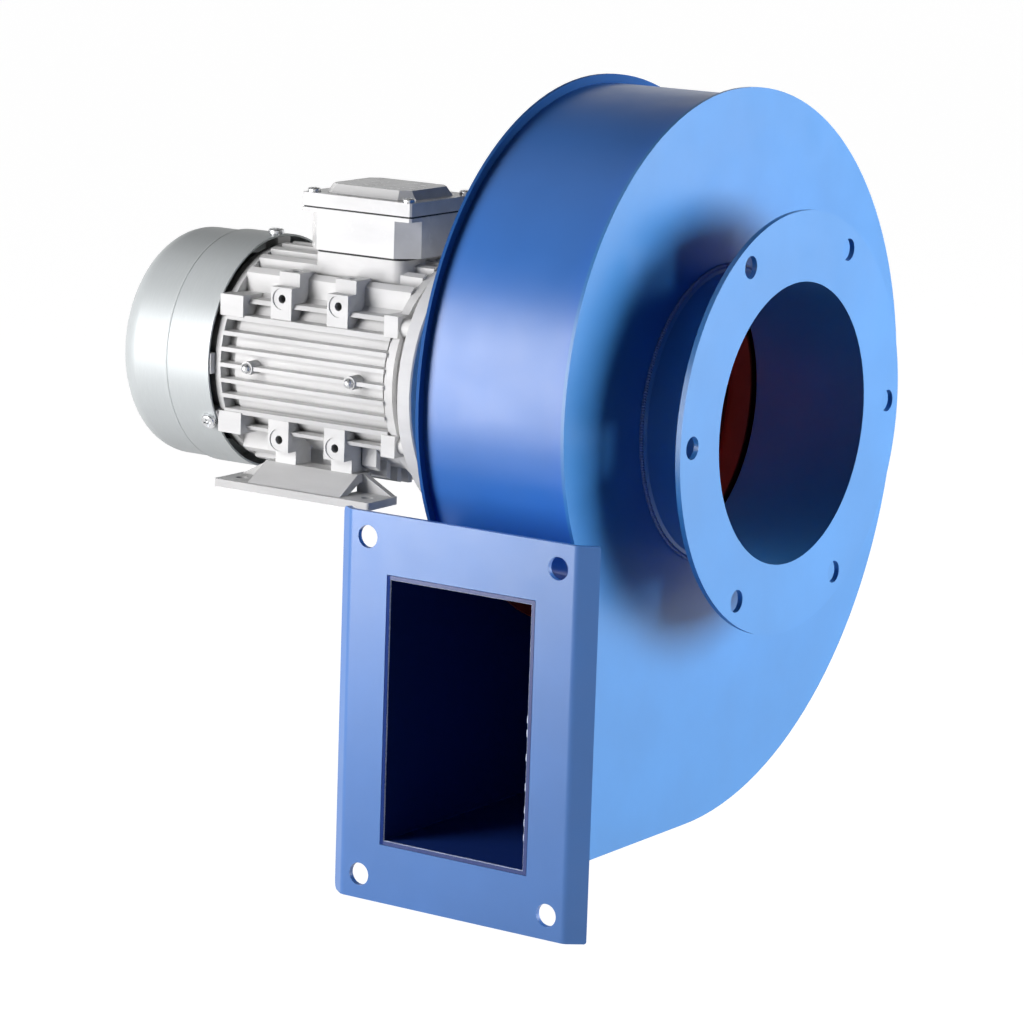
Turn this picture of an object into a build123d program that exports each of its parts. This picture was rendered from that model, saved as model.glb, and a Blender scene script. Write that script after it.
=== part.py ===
"""Centrifugal blower: a welded scroll casing, a backward-curved impeller and a finned motor.

All lengths are in millimetres.  The shaft axis is X and the origin lies on it, in the front face
of the inlet flange.  The inlet opens towards +X, the motor lies towards -X, the outlet blows
towards -Y and +Z is up.  Seen from the inlet the impeller turns clockwise.
"""

import math
import os

from build123d import *

os.makedirs("parts", exist_ok=True)

# Fits and gaps
running_gap = 0.05
paint_gap = 0.3
air_gap = 0.35

# Fastener heads, as shares of the thread size
hex_radius = 0.92
hex_height = 0.65
hex_chamfer = 0.08
pan_radius = 0.95
pan_height = 0.6
pan_round = 0.3
cross_length = 1.1
cross_width = 0.22
cross_depth = 0.25
cap_radius = 0.85
socket_radius = 0.42
socket_depth = 0.6

# Casing sheet and the four-centre scroll
sheet = 2.0
casing_width = 95.0
inlet_reach = 47.0
outlet_reach = 179.0
outlet_height = 148.5
centre_offset = 10.85
first_radius = 141.65
last_step = 30.0
plate_overhang = 5.0
tongue_radius = 8.0

# Inlet duct and flange
inlet_radius = 78.0
inlet_wall = 2.0
inlet_intrusion = 21.0
inlet_flange_radius = 117.0
inlet_bolt_circle = 210.0
inlet_bolt_count = 6
flange_sheet = 3.0
flange_hole = 12.5
weld_leg = 3.0

# Outlet flange
outlet_flat_width = 145.6
outlet_flange_height = 214.0
outlet_bolt_side_inset = 11.8
outlet_bolt_end_inset = 13.5
lip_length = 12.0
lip_angle = 38.0
lip_bend = 3.0
back_lip_corner = 4.0
front_lip_corner = 1.5

# Impeller
impeller_radius = 130.0
impeller_back_gap = 4.0
eye_gap = 5.0
eye_radius = 79.5
eye_lip = 6.0
eye_bend = 12.0
rim_width = 32.0
impeller_sheet = 2.0
hub_fillet = 3.0
rivet_head_radius = 4.5
rivet_head = 2.0
blade_count = 12
blade_inner_radius = 86.0
blade_outer_radius = 128.0
blade_lag = 27.0
blade_bow = 6.0
hub_radius = 19.0
hub_length = 28.0
hub_flange_radius = 36.0
hub_flange = 4.0
rivet_circle = 56.0
rivet_count = 6
rivet_size = 5.0

# Shaft
shaft_radius = 7.0
bearing_bore_radius = 7.5
core_seat_radius = 9.0
key_width = 5.0
key_height = 5.0
key_depth = 3.0
key_length = 20.0
key_inset = 4.0
shaft_inset = 1.0
shaft_tail = 26.0
retainer_size = 5.0
retainer_length = 16.0
retainer_washer = 11.0
retainer_sheet = 2.0
circlip_width = 1.0
circlip_radius = 9.0
circlip_seat_radius = 6.5
circlip_mouth = 6.0

# Ball bearings
bearing_width = 11.0
bearing_outer_radius = 17.5
bearing_pitch_radius = 12.5
bearing_land = 1.7
ball_radius = 3.0
ball_count = 7

# Seal and motor stool
seal_hole_radius = 12.0
seal_housing_radius = 30.0
seal_housing_depth = 9.0
seal_housing_chamfer = 1.0
felt_radius = 15.0
felt_width = 6.0
shaft_clearance = 1.5
seal_screw_circle = 46.0
seal_screw_size = 4.0
seal_screw_count = 4
stool_length = 58.0
stool_foot_radius = 92.0
stool_foot = 4.0
stool_head_radius = 73.0
stool_head = 6.0
drum_radius = 57.0
drum_wall = 2.5
drum_window = 34.0
drum_window_width = 40.0
stool_rib = 4.0
stool_rib_reach = 88.0
stool_rib_length = 30.0
stool_rib_foot = 6.0
stud_size = 8.0
stud_count = 6
stud_circle = 160.0
stud_length = 18.0
nut_height = 6.5
bolt_clearance = 0.5

# Motor: frame size 71 with flange and feet
motor_flange_radius = 80.0
motor_flange_rim = 9.5
motor_flange_chamfer = 0.8
spigot_radius = 55.0
spigot_height = 3.5
motor_bolt_circle = 130.0
motor_bolt_size = 8.0
motor_bolt_count = 4
motor_bolt_length = 20.0
endshield_depth = 24.0
endshield_web = 11.0
endshield_register = 4.0
endshield_wall = 4.0
endshield_waist = 60.0
endshield_hub_radius = 22.0
endshield_recess = 8.0
rear_shield_rim = 6.0
rear_shield_radius = 62.0
rear_shield_cover = 3.0
ear_radius = 5.5
rear_ear_depth = 9.0
cowl_lug_width = 12.0
cowl_lug_inner = 58.0
rear_bearing_inset = 1.0
shaft_end_chamfer = 0.8
frame_length = 126.0
bore_radius = 54.0
barrel_radius = 57.5
fin_radius = 65.5
ring_radius = 64.0
front_ring = 5.5
rear_ring = 4.0
fin_thickness = 2.4
side_fin_pitch = 9.1
side_fin_count = 5
ledge_height = 27.5
ledge_thickness = 3.0
upper_fin_height = 37.0
top_fin_pitch = 10.8
top_fin_count = 6
outer_top_fin = 38.5
top_fin_thickness = 4.0
top_fin_front_gap = 21.5
fin_stub_length = 10.0
fin_stub_inset = 20.8
relief_width = 5.5
relief_depth = 2.0

# Mounting pads on the motor frame
pad_centre = 88.7
pad_spacing = 40.0
pad_width = 14.6
pad_face = 56.7
pad_bottom = 28.4
pad_top = 47.8
end_pad_outer = 49.0
end_pad_inner = 34.3
end_pad_face = 55.7
pad_hole_height = 41.0
pad_hole = 5.0
pad_spot = 12.4
pad_spot_depth = 0.8
pad_hole_depth = 8.0
end_pad_hole_depth = 12.0
front_lug_length = 9.5
rear_lug_length = 16.5
lug_reach = 60.0
lug_low = 28.0
lug_high = 40.5
lug_bolt_y = 52.5
lug_bolt_z = 33.5
lug_bolt_size = 5.0
lug_bolt_thread = 8.5
front_screw_seat = 6.0
stud_boss_spacing = 73.0
stud_boss_radius = 4.0
stud_boss_face = 66.5
drive_screw_radius = 1.6
drive_screw_head = 3.0
drive_screw_length = 6.0

# Stator, windings and rotor core
core_length = 70.0
core_offset = -3.0
winding_overhang = 15.0
winding_outer = 50.0
winding_inner = 36.0
winding_round = 4.0
end_ring_radius = 31.0
end_ring_width = 8.0
stator_bore_radius = 33.0

# Motor feet
shaft_height = 71.0
foot_hole_x = 90.0
foot_hole_y = 112.0
foot_to_flange = 45.0
foot_hole = 7.0
foot_length = 111.0
foot_outer = 69.0
foot_plate = 4.5
foot_web_length = 66.0
foot_shelf = 5.0
foot_shelf_inner = 36.0
foot_inner = 40.0
foot_web_edge = 3.0
foot_web_sheet = 4.0
foot_web_top = 49.0
foot_gusset = 4.0
foot_gusset_lead = 2.0
foot_corner = 2.0
foot_bolt_size = 6.0
foot_bolt_length = 16.0

# Fan cowl and cooling fan
cowl_radius = 69.3
cowl_tail_radius = 68.0
cowl_sheet = 1.2
cowl_step = 30.0
cowl_length = 70.0
cowl_corner = 14.5
cowl_overlap = 1.0
cowl_screw_size = 5.0
cowl_screw_inset = 5.0
cowl_screw_count = 3
cowl_screw_thread = 3.0
grille_rings = 4
grille_pitch = 10.0
grille_slot = 5.0
grille_ring_start = 16.0
grille_web = 5.0
grille_web_count = 6
fan_radius = 56.0
fan_hub_radius = 15.0
fan_width = 20.0
fan_blades = 7
fan_sheet = 2.5
fan_gap = 10.0

# Terminal box
box_centre = 74.5
box_length = 77.0
box_width = 66.6
box_corner = 11.2
box_base = 68.4
box_rim_base = 89.9
lid_base = 93.2
lid_top = 100.9
crown_top = 106.0
crown_margin = 7.4
crown_corner = 7.3
crown_draft = 35.0
crown_wall = 2.5
box_wall = 3.0
lid_gasket_sheet = 1.0
gasket_inset = 0.6
pedestal_length = 63.0
pedestal_width = 62.0
pedestal_corner = 7.0
pedestal_top = 66.9
lead_opening = 30.0
lid_screw_size = 4.0
lid_screw_inset = 5.0
box_screw_size = 5.0
box_screw_length = 12.0
box_screw_spacing = 46.0
box_floor = 3.0
rim_corner = 1.0
block_length = 44.0
block_width = 24.0
block_height = 9.0
terminal_pitch = 14.0
terminal_size = 4.0
terminal_height = 7.0
terminal_nut_radius = 3.6
terminal_nut = 3.2
gland_height = 79.5
gland_size = 16.0
gland_hex = 11.0
gland_hex_height = 6.0
gland_cap_radius = 9.5
gland_length = 16.0
gland_thread = 8.0
gland_bore = 5.0
gland_round = 2.0

# Stations along the shaft, worked out from the sizes above
casing_front = -inlet_reach
casing_back = casing_front - casing_width
casing_middle = (casing_front + casing_back) / 2
inlet_duct_end = casing_front - sheet - inlet_intrusion
disc_back = casing_back + sheet + impeller_back_gap
disc_front = disc_back + impeller_sheet
eye_front = inlet_duct_end - eye_gap
hub_front = disc_front + hub_length
motor_face = casing_back - stool_length
frame_front = motor_face - endshield_depth
frame_rear = frame_front - frame_length
frame_middle = motor_face - pad_centre
foot_middle = motor_face - foot_to_flange - foot_hole_x / 2
cowl_front = frame_rear - cowl_overlap
cowl_rear = cowl_front - cowl_length
box_middle = motor_face - box_centre
duct_low = -centre_offset - (first_radius + 4 * centre_offset + last_step)
duct_high = duct_low + outlet_height
duct_middle = (duct_low + duct_high) / 2
floor_top = box_base + box_floor
box_screw_places = GridLocations(box_screw_spacing, box_screw_spacing, 2, 2).locations

BACKWARD = (Align.CENTER, Align.CENTER, Align.MAX)
FORWARD = (Align.CENTER, Align.CENTER, Align.MIN)


def across(x):
    """Plane square to the shaft at x, with its own x along Y and its own y along Z."""
    return Plane.YZ.offset(x)


def finish(piece, name):
    """Name the piece and write it."""
    piece.part.label = name
    export_step(piece.part, f"parts/{name}.step")


def lathe_face(*points):
    """Half section in the X-Z plane, from (x, radius) points."""
    with BuildSketch(Plane.XZ) as section:
        with BuildLine():
            Polyline(*points, close=True)
        make_face()
    return section.sketch


def scroll_face(plane, grow, mouth):
    """Filled casing outline, grown outwards from the wrapper's outer face, cut off at y = mouth."""
    radius = first_radius + grow
    low = duct_low - grow
    high = duct_high + grow
    corner_angle = math.degrees(math.asin((centre_offset - high) / radius))
    corner_run = radius * math.cos(math.radians(corner_angle))
    corner = (-centre_offset - corner_run, high)
    last_radius = radius + 4 * centre_offset + last_step
    with BuildSketch(plane) as face:
        with BuildLine():
            Line((mouth, high), (mouth, low))
            Line((mouth, low), (centre_offset - last_step, low))
            CenterArc((centre_offset - last_step, -centre_offset), last_radius, -90, 90)
            CenterArc((centre_offset, -centre_offset), radius + 4 * centre_offset, 0, 90)
            CenterArc((centre_offset, centre_offset), radius + 2 * centre_offset, 90, 90)
            CenterArc((-centre_offset, centre_offset), radius, 180, corner_angle)
            Line(corner, (mouth, high))
        make_face()
        fillet(face.vertices().sort_by_distance((*corner, 0))[0], tongue_radius - grow)
    return face.sketch


def hex_bolt(size, length):
    """Hexagon bolt: head above its own plane, shank below it."""
    with BuildPart() as bolt:
        with BuildSketch():
            RegularPolygon(size * hex_radius, 6)
        extrude(amount=size * hex_height)
        chamfer(bolt.edges().group_by(Axis.Z)[-1], size * hex_chamfer)
        Cylinder(size / 2, length, align=BACKWARD)
    return bolt.part


def pan_screw(size, length):
    """Pan-head screw with a cross recess: head above its own plane, shank below it."""
    with BuildPart() as screw:
        Cylinder(size * pan_radius, size * pan_height, align=FORWARD)
        fillet(screw.edges().group_by(Axis.Z)[-1], size * pan_round)
        with Locations((0, 0, size * pan_height)):
            Box(size * cross_length, size * cross_width, 2 * size * cross_depth, mode=Mode.SUBTRACT)
            Box(size * cross_width, size * cross_length, 2 * size * cross_depth, mode=Mode.SUBTRACT)
        Cylinder(size / 2, length, align=BACKWARD)
    return screw.part


def cap_screw(size, length):
    """Socket-head screw: head above its own plane, shank below it."""
    with BuildPart() as screw:
        Cylinder(size * cap_radius, size, align=FORWARD)
        with BuildSketch(Plane.XY.offset(size)):
            RegularPolygon(size * socket_radius, 6)
        extrude(amount=-size * socket_depth, mode=Mode.SUBTRACT)
        Cylinder(size / 2, length, align=BACKWARD)
    return screw.part


# Inlet flange: a flat ring with its bolt circle
with BuildPart(across(0)) as inlet_flange:
    Cylinder(inlet_flange_radius, flange_sheet, align=BACKWARD)
    Hole(inlet_radius)
    with PolarLocations(inlet_bolt_circle / 2, inlet_bolt_count):
        Hole(flange_hole / 2)
finish(inlet_flange, "inlet_flange")

# Inlet duct: rolled tube through the front plate, with the weld bead on the plate
duct_outer = inlet_radius + inlet_wall
weld_front = casing_front + weld_leg
with BuildPart(across(-flange_sheet)) as inlet_duct:
    Cylinder(duct_outer, -flange_sheet - inlet_duct_end, align=BACKWARD)
    revolve(
        lathe_face((casing_front, inlet_radius), (weld_front, inlet_radius), (weld_front, duct_outer),
                   (casing_front, duct_outer + weld_leg)),
        axis=Axis.X,
    )
    Hole(inlet_radius)
finish(inlet_duct, "inlet_duct")


def side_plate(outer_face, direction):
    """Side plate: the scroll outline with a tongue that passes through the outlet flange."""
    plane = across(outer_face)
    with BuildPart() as plate:
        extrude(scroll_face(plane, plate_overhang, flange_sheet - outlet_reach), amount=direction * sheet)
        with BuildSketch(plane):
            with Locations((-outlet_reach / 2, duct_middle)):
                Rectangle(outlet_reach, outlet_height)
        extrude(amount=direction * sheet)
    return plate.part


# Front plate with the hole for the inlet duct
with BuildPart() as front_plate:
    add(side_plate(casing_front, -1))
    with Locations(across(casing_front)):
        Hole(duct_outer, 2 * sheet)
finish(front_plate, "front_plate")

# Back plate with the hole for the shaft
with BuildPart() as back_plate:
    add(side_plate(casing_back, 1))
    with Locations(across(casing_back + sheet)):
        Hole(seal_hole_radius, sheet)
        with PolarLocations(seal_screw_circle / 2, seal_screw_count):
            Hole(seal_screw_size / 2, sheet)
finish(back_plate, "back_plate")

# Scroll wrapper: one strip from the outlet's floor round the scroll and the tongue to its roof
with BuildPart() as scroll_wrapper:
    inner_width = casing_width - 2 * sheet
    strip_plane = across(casing_front - sheet)
    extrude(scroll_face(strip_plane, 0, -outlet_reach), amount=-inner_width)
    extrude(scroll_face(strip_plane, -sheet, -outlet_reach - sheet), amount=-inner_width, mode=Mode.SUBTRACT)
finish(scroll_wrapper, "scroll_wrapper")

# Outlet flange: a plate with its two upright edges bent back, slipped over the end of the duct
flange_low = duct_middle - outlet_flange_height / 2
lip_run = lip_length * math.cos(math.radians(lip_angle))
lip_rise = lip_length * math.sin(math.radians(lip_angle))
lip_back_x = flange_sheet * math.sin(math.radians(lip_angle))
lip_back_y = flange_sheet * math.cos(math.radians(lip_angle))
inner_corner = flange_sheet * math.tan(math.radians(lip_angle / 2))
half_flat = outlet_flat_width / 2
lip_end = (half_flat + lip_run, lip_rise)
with BuildPart() as outlet_flange:
    with BuildSketch(Plane((casing_middle, -outlet_reach, flange_low))) as flange_section:
        with BuildLine():
            Polyline(
                (0, 0), (half_flat, 0), lip_end, (lip_end[0] - lip_back_x, lip_end[1] + lip_back_y),
                (half_flat - inner_corner, flange_sheet), (0, flange_sheet), close=True,
            )
        make_face()
        fillet(flange_section.vertices().sort_by_distance((half_flat, 0, 0))[0], lip_bend + flange_sheet)
        inner_bend = (half_flat - inner_corner, flange_sheet, 0)
        fillet(flange_section.vertices().sort_by_distance(inner_bend)[0], lip_bend)
        mirror(about=Plane.YZ)
    extrude(amount=outlet_flange_height)
    for end, corner in ((0, back_lip_corner), (-1, front_lip_corner)):
        lip_ends = outlet_flange.edges().filter_by(GeomType.LINE).group_by(SortBy.LENGTH)[0]
        fillet(lip_ends.group_by(Axis.X)[end], corner)
    with Locations((casing_middle, -outlet_reach, duct_middle)):
        Box(casing_width + 2 * paint_gap, 4 * flange_sheet, outlet_height + 2 * paint_gap, mode=Mode.SUBTRACT)
    flange_face = Plane((casing_middle, -outlet_reach, duct_middle), x_dir=(1, 0, 0), z_dir=(0, -1, 0))
    with Locations(flange_face):
        with GridLocations(outlet_flat_width - 2 * outlet_bolt_side_inset,
                           outlet_flange_height - 2 * outlet_bolt_end_inset, 2, 2):
            Hole(flange_hole / 2, 2 * flange_sheet)
finish(outlet_flange, "outlet_flange")

# Impeller back disc with its hub bore and rivet holes
with BuildPart(across(disc_front)) as impeller_disc:
    Cylinder(impeller_radius, impeller_sheet, align=BACKWARD)
    Hole(shaft_radius)
    with PolarLocations(rivet_circle / 2, rivet_count):
        Hole(rivet_size / 2)
finish(impeller_disc, "impeller_disc")

# Impeller shroud: the eye lip turns out into a cone that narrows the blades towards the rim
shroud_rim = (disc_front + rim_width, impeller_radius)
shroud_path = ((eye_front, eye_radius), (eye_front - eye_lip - eye_bend, eye_radius), shroud_rim)
with BuildPart() as impeller_shroud:
    with BuildSketch(Plane.XZ):
        with BuildLine():
            FilletPolyline(*shroud_path, radius=eye_bend)
            offset(amount=impeller_sheet, side=Side.RIGHT)
        make_face()
    revolve(axis=Axis.X)
finish(impeller_shroud, "impeller_shroud")

# Blades: curved strips between the disc and the shroud, trailing as the wheel turns clockwise
lag = math.radians(blade_lag)
blade_tip = (blade_outer_radius * math.cos(lag), blade_outer_radius * math.sin(lag))
with BuildPart() as impeller_blades:
    with BuildSketch(across(disc_front)):
        with BuildSketch(mode=Mode.PRIVATE) as blade_face:
            with BuildLine():
                SagittaArc((blade_inner_radius, 0), blade_tip, -blade_bow)
                offset(amount=impeller_sheet, side=Side.LEFT)
            make_face()
        with PolarLocations(0, blade_count):
            add(blade_face.sketch)
    extrude(amount=eye_front - disc_front)
    with BuildSketch(Plane.XZ):
        with BuildLine():
            FilletPolyline(*shroud_path, radius=eye_bend)
            Polyline(shroud_rim, (disc_front, impeller_radius), (disc_front, hub_radius),
                     (eye_front, hub_radius), (eye_front, eye_radius))
        make_face()
    revolve(axis=Axis.X, mode=Mode.INTERSECT)
finish(impeller_blades, "impeller_blades")

# Hub: a flanged sleeve with a keyway, riveted to the front of the disc
key_top = shaft_radius - key_depth + key_height
with BuildPart() as impeller_hub:
    revolve(
        lathe_face((disc_front, shaft_radius), (disc_front, hub_flange_radius),
                   (disc_front + hub_flange, hub_flange_radius), (disc_front + hub_flange, hub_radius),
                   (hub_front, hub_radius), (hub_front, shaft_radius)),
        axis=Axis.X,
    )
    hub_rings = impeller_hub.edges().filter_by(GeomType.CIRCLE)
    fillet(hub_rings.filter_by_position(Axis.X, disc_front + hub_flange, disc_front + hub_flange)
           .sort_by(SortBy.RADIUS)[0], hub_fillet)
    with Locations((disc_front, 0, 0)):
        Box(2 * hub_length, key_width, 2 * (key_top + paint_gap),
            align=(Align.MIN, Align.CENTER, Align.CENTER), mode=Mode.SUBTRACT)
    with Locations(across(disc_front + hub_flange)):
        with PolarLocations(rivet_circle / 2, rivet_count):
            Hole(rivet_size / 2, hub_flange)
finish(impeller_hub, "impeller_hub")

# Rivets through the disc and the hub flange, with a head on each side
with BuildPart() as hub_rivets:
    with Locations(across(disc_back)):
        with PolarLocations(rivet_circle / 2, rivet_count):
            Cylinder(rivet_size / 2, impeller_sheet + hub_flange, align=FORWARD)
            Cylinder(rivet_head_radius, rivet_head, align=BACKWARD)
    with Locations(across(disc_front + hub_flange)):
        with PolarLocations(rivet_circle / 2, rivet_count):
            Cylinder(rivet_head_radius, rivet_head, align=FORWARD)
    chamfer(hub_rivets.edges().group_by(Axis.X)[0] + hub_rivets.edges().group_by(Axis.X)[-1], rivet_head / 2)
finish(hub_rivets, "hub_rivets")

# Shaft: hub seat, journal through the seal, two bearing seats, core seat and fan seat
shaft_front = hub_front - shaft_inset
front_bearing_face = motor_face - endshield_web
front_bearing_back = front_bearing_face - bearing_width
rear_bearing_face = frame_rear - rear_bearing_inset
rear_bearing_back = rear_bearing_face - bearing_width
shaft_rear = rear_bearing_back - shaft_tail - shaft_end_chamfer
circlip_back = rear_bearing_back - fan_gap - fan_width - circlip_width
with BuildPart() as motor_shaft:
    revolve(
        lathe_face((shaft_front, 0), (shaft_front, shaft_radius - shaft_end_chamfer),
                   (shaft_front - shaft_end_chamfer, shaft_radius), (disc_back, shaft_radius),
                   (disc_back, bearing_bore_radius), (front_bearing_back, bearing_bore_radius),
                   (front_bearing_back, core_seat_radius), (rear_bearing_face, core_seat_radius),
                   (rear_bearing_face, bearing_bore_radius), (rear_bearing_back, bearing_bore_radius),
                   (rear_bearing_back, shaft_radius), (circlip_back + circlip_width, shaft_radius),
                   (circlip_back + circlip_width, circlip_seat_radius), (circlip_back, circlip_seat_radius),
                   (circlip_back, shaft_radius), (shaft_rear + shaft_end_chamfer, shaft_radius),
                   (shaft_rear, shaft_radius - shaft_end_chamfer), (shaft_rear, 0)),
        axis=Axis.X,
    )
    with Locations((shaft_front - key_inset, 0, shaft_radius - key_depth)):
        Box(key_length, key_width, 2 * key_height, align=(Align.MAX, Align.CENTER, Align.MIN),
            mode=Mode.SUBTRACT)
    with Locations(across(shaft_front)):
        Hole(retainer_size / 2, retainer_length - retainer_sheet)
finish(motor_shaft, "motor_shaft")

# Key between the shaft and the hub
with BuildPart() as shaft_key:
    with Locations((shaft_front - key_inset, 0, shaft_radius - key_depth)):
        Box(key_length, key_width, key_height, align=(Align.MAX, Align.CENTER, Align.MIN))
finish(shaft_key, "shaft_key")

# Washer and bolt that hold the hub on the shaft
with BuildPart(across(hub_front)) as retainer_washer_disc:
    Cylinder(retainer_washer, retainer_sheet, align=FORWARD)
    Hole(retainer_size / 2 + paint_gap)
finish(retainer_washer_disc, "hub_washer")
with BuildPart() as hub_bolt:
    with Locations(across(hub_front + retainer_sheet)):
        add(hex_bolt(retainer_size, retainer_length))
finish(hub_bolt, "hub_bolt")

# Seal: a housing on the back plate, a felt ring on the shaft and four screws
seal_rear = casing_back - seal_housing_depth
journal_clearance = bearing_bore_radius + shaft_clearance
with BuildPart() as seal_housing:
    revolve(
        lathe_face((casing_back, felt_radius), (casing_back, seal_housing_radius),
                   (seal_rear, seal_housing_radius), (seal_rear, journal_clearance),
                   (casing_back - felt_width, journal_clearance), (casing_back - felt_width, felt_radius)),
        axis=Axis.X,
    )
    chamfer(seal_housing.edges().filter_by(GeomType.CIRCLE).sort_by(SortBy.RADIUS)[-2:]
            .sort_by(Axis.X)[0], seal_housing_chamfer)
    with Locations(across(casing_back)):
        with PolarLocations(seal_screw_circle / 2, seal_screw_count):
            Hole(seal_screw_size / 2, seal_housing_depth)
finish(seal_housing, "seal_housing")
with BuildPart(across(casing_back)) as felt_seal:
    Cylinder(felt_radius, felt_width, align=BACKWARD)
    Hole(bearing_bore_radius + running_gap)
finish(felt_seal, "felt_seal")
with BuildPart() as seal_screws:
    with Locations(-across(seal_rear)):
        with PolarLocations(seal_screw_circle / 2, seal_screw_count):
            add(pan_screw(seal_screw_size, seal_housing_depth + sheet))
finish(seal_screws, "seal_screws")

# Motor stool: foot ring, windowed drum and head ring that take the motor's flange
stool_foot_rear = casing_back - stool_foot
stool_head_front = motor_face + stool_head
drum_inner = drum_radius - drum_wall
rib_root = drum_radius - drum_wall / 2
with BuildPart() as motor_stool:
    revolve(
        lathe_face((casing_back, drum_inner), (casing_back, stool_foot_radius),
                   (stool_foot_rear, stool_foot_radius), (stool_foot_rear, drum_radius),
                   (stool_head_front, drum_radius), (stool_head_front, stool_head_radius),
                   (motor_face, stool_head_radius), (motor_face, spigot_radius),
                   (stool_head_front, spigot_radius), (stool_head_front, drum_inner)),
        axis=Axis.X,
    )
    with BuildSketch(Plane.XZ):
        Polygon((stool_foot_rear, rib_root), (stool_foot_rear, stool_rib_reach),
                (stool_foot_rear - stool_rib_foot, stool_rib_reach),
                (stool_foot_rear - stool_rib_length, rib_root), align=None)
    rib = extrude(amount=stool_rib / 2, both=True, mode=Mode.PRIVATE)
    for turn in (45, 135, 225, 315):
        add(rib.rotate(Axis.X, turn))
    with Locations(((stool_foot_rear + stool_head_front) / 2, 0, 0)):
        Box(drum_window, 4 * drum_radius, drum_window_width, mode=Mode.SUBTRACT)
        Box(drum_window, drum_window_width, 4 * drum_radius, mode=Mode.SUBTRACT)
    with Locations(across(casing_back)):
        with PolarLocations(stud_circle / 2, stud_count):
            Hole(stud_size / 2 + bolt_clearance, stool_foot)
    with Locations(across(stool_head_front)):
        with PolarLocations(motor_bolt_circle / 2, motor_bolt_count, start_angle=45):
            Hole(motor_bolt_size / 2 + bolt_clearance, stool_head)
finish(motor_stool, "motor_stool")

# Weld studs on the back plate and their nuts
with BuildPart(across(casing_back)) as stool_studs:
    with PolarLocations(stud_circle / 2, stud_count):
        Cylinder(stud_size / 2, stud_length, align=BACKWARD)
finish(stool_studs, "stool_studs")
with BuildPart() as stool_nuts:
    with BuildSketch(across(stool_foot_rear)):
        with PolarLocations(stud_circle / 2, stud_count):
            RegularPolygon(stud_size * hex_radius, 6)
            Circle(stud_size / 2, mode=Mode.SUBTRACT)
    extrude(amount=-nut_height)
finish(stool_nuts, "stool_nuts")

# Bolts from the stool's head into the motor flange
with BuildPart() as motor_bolts:
    with Locations(across(stool_head_front)):
        with PolarLocations(motor_bolt_circle / 2, motor_bolt_count, start_angle=45):
            add(hex_bolt(motor_bolt_size, motor_bolt_length))
finish(motor_bolts, "motor_bolts")

# Front endshield: the motor's flange with its spigot, bearing seat and register
shield_recess = motor_face - endshield_recess
spigot_front = motor_face + spigot_height
flange_back = motor_face - motor_flange_rim
with BuildPart() as front_endshield:
    revolve(
        lathe_face((spigot_front, journal_clearance), (spigot_front, spigot_radius),
                   (motor_face, spigot_radius), (motor_face, motor_flange_radius),
                   (flange_back, motor_flange_radius), (flange_back, endshield_waist),
                   (frame_front, endshield_waist), (frame_front, bore_radius),
                   (frame_front - endshield_register, bore_radius),
                   (frame_front - endshield_register, bore_radius - endshield_wall),
                   (shield_recess - endshield_wall, bore_radius - endshield_wall),
                   (shield_recess, endshield_hub_radius), (front_bearing_back, endshield_hub_radius),
                   (front_bearing_back, bearing_outer_radius), (front_bearing_face, bearing_outer_radius),
                   (front_bearing_face, journal_clearance)),
        axis=Axis.X,
    )
    chamfer(front_endshield.edges().filter_by(GeomType.CIRCLE).group_by(SortBy.RADIUS)[-1],
            motor_flange_chamfer)
    with Locations(across(frame_front)):
        with GridLocations(2 * lug_bolt_y, 2 * lug_bolt_z, 2, 2):
            Cylinder(ear_radius, endshield_depth - front_screw_seat, align=FORWARD)
    with Locations(across(motor_face)):
        with GridLocations(2 * lug_bolt_y, 2 * lug_bolt_z, 2, 2):
            Hole(lug_bolt_size / 2, endshield_depth)
            Hole(lug_bolt_size + paint_gap, front_screw_seat)
        with PolarLocations(motor_bolt_circle / 2, motor_bolt_count, start_angle=45):
            Hole(motor_bolt_size / 2, motor_bolt_length - stool_head)
finish(front_endshield, "front_endshield")

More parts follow.
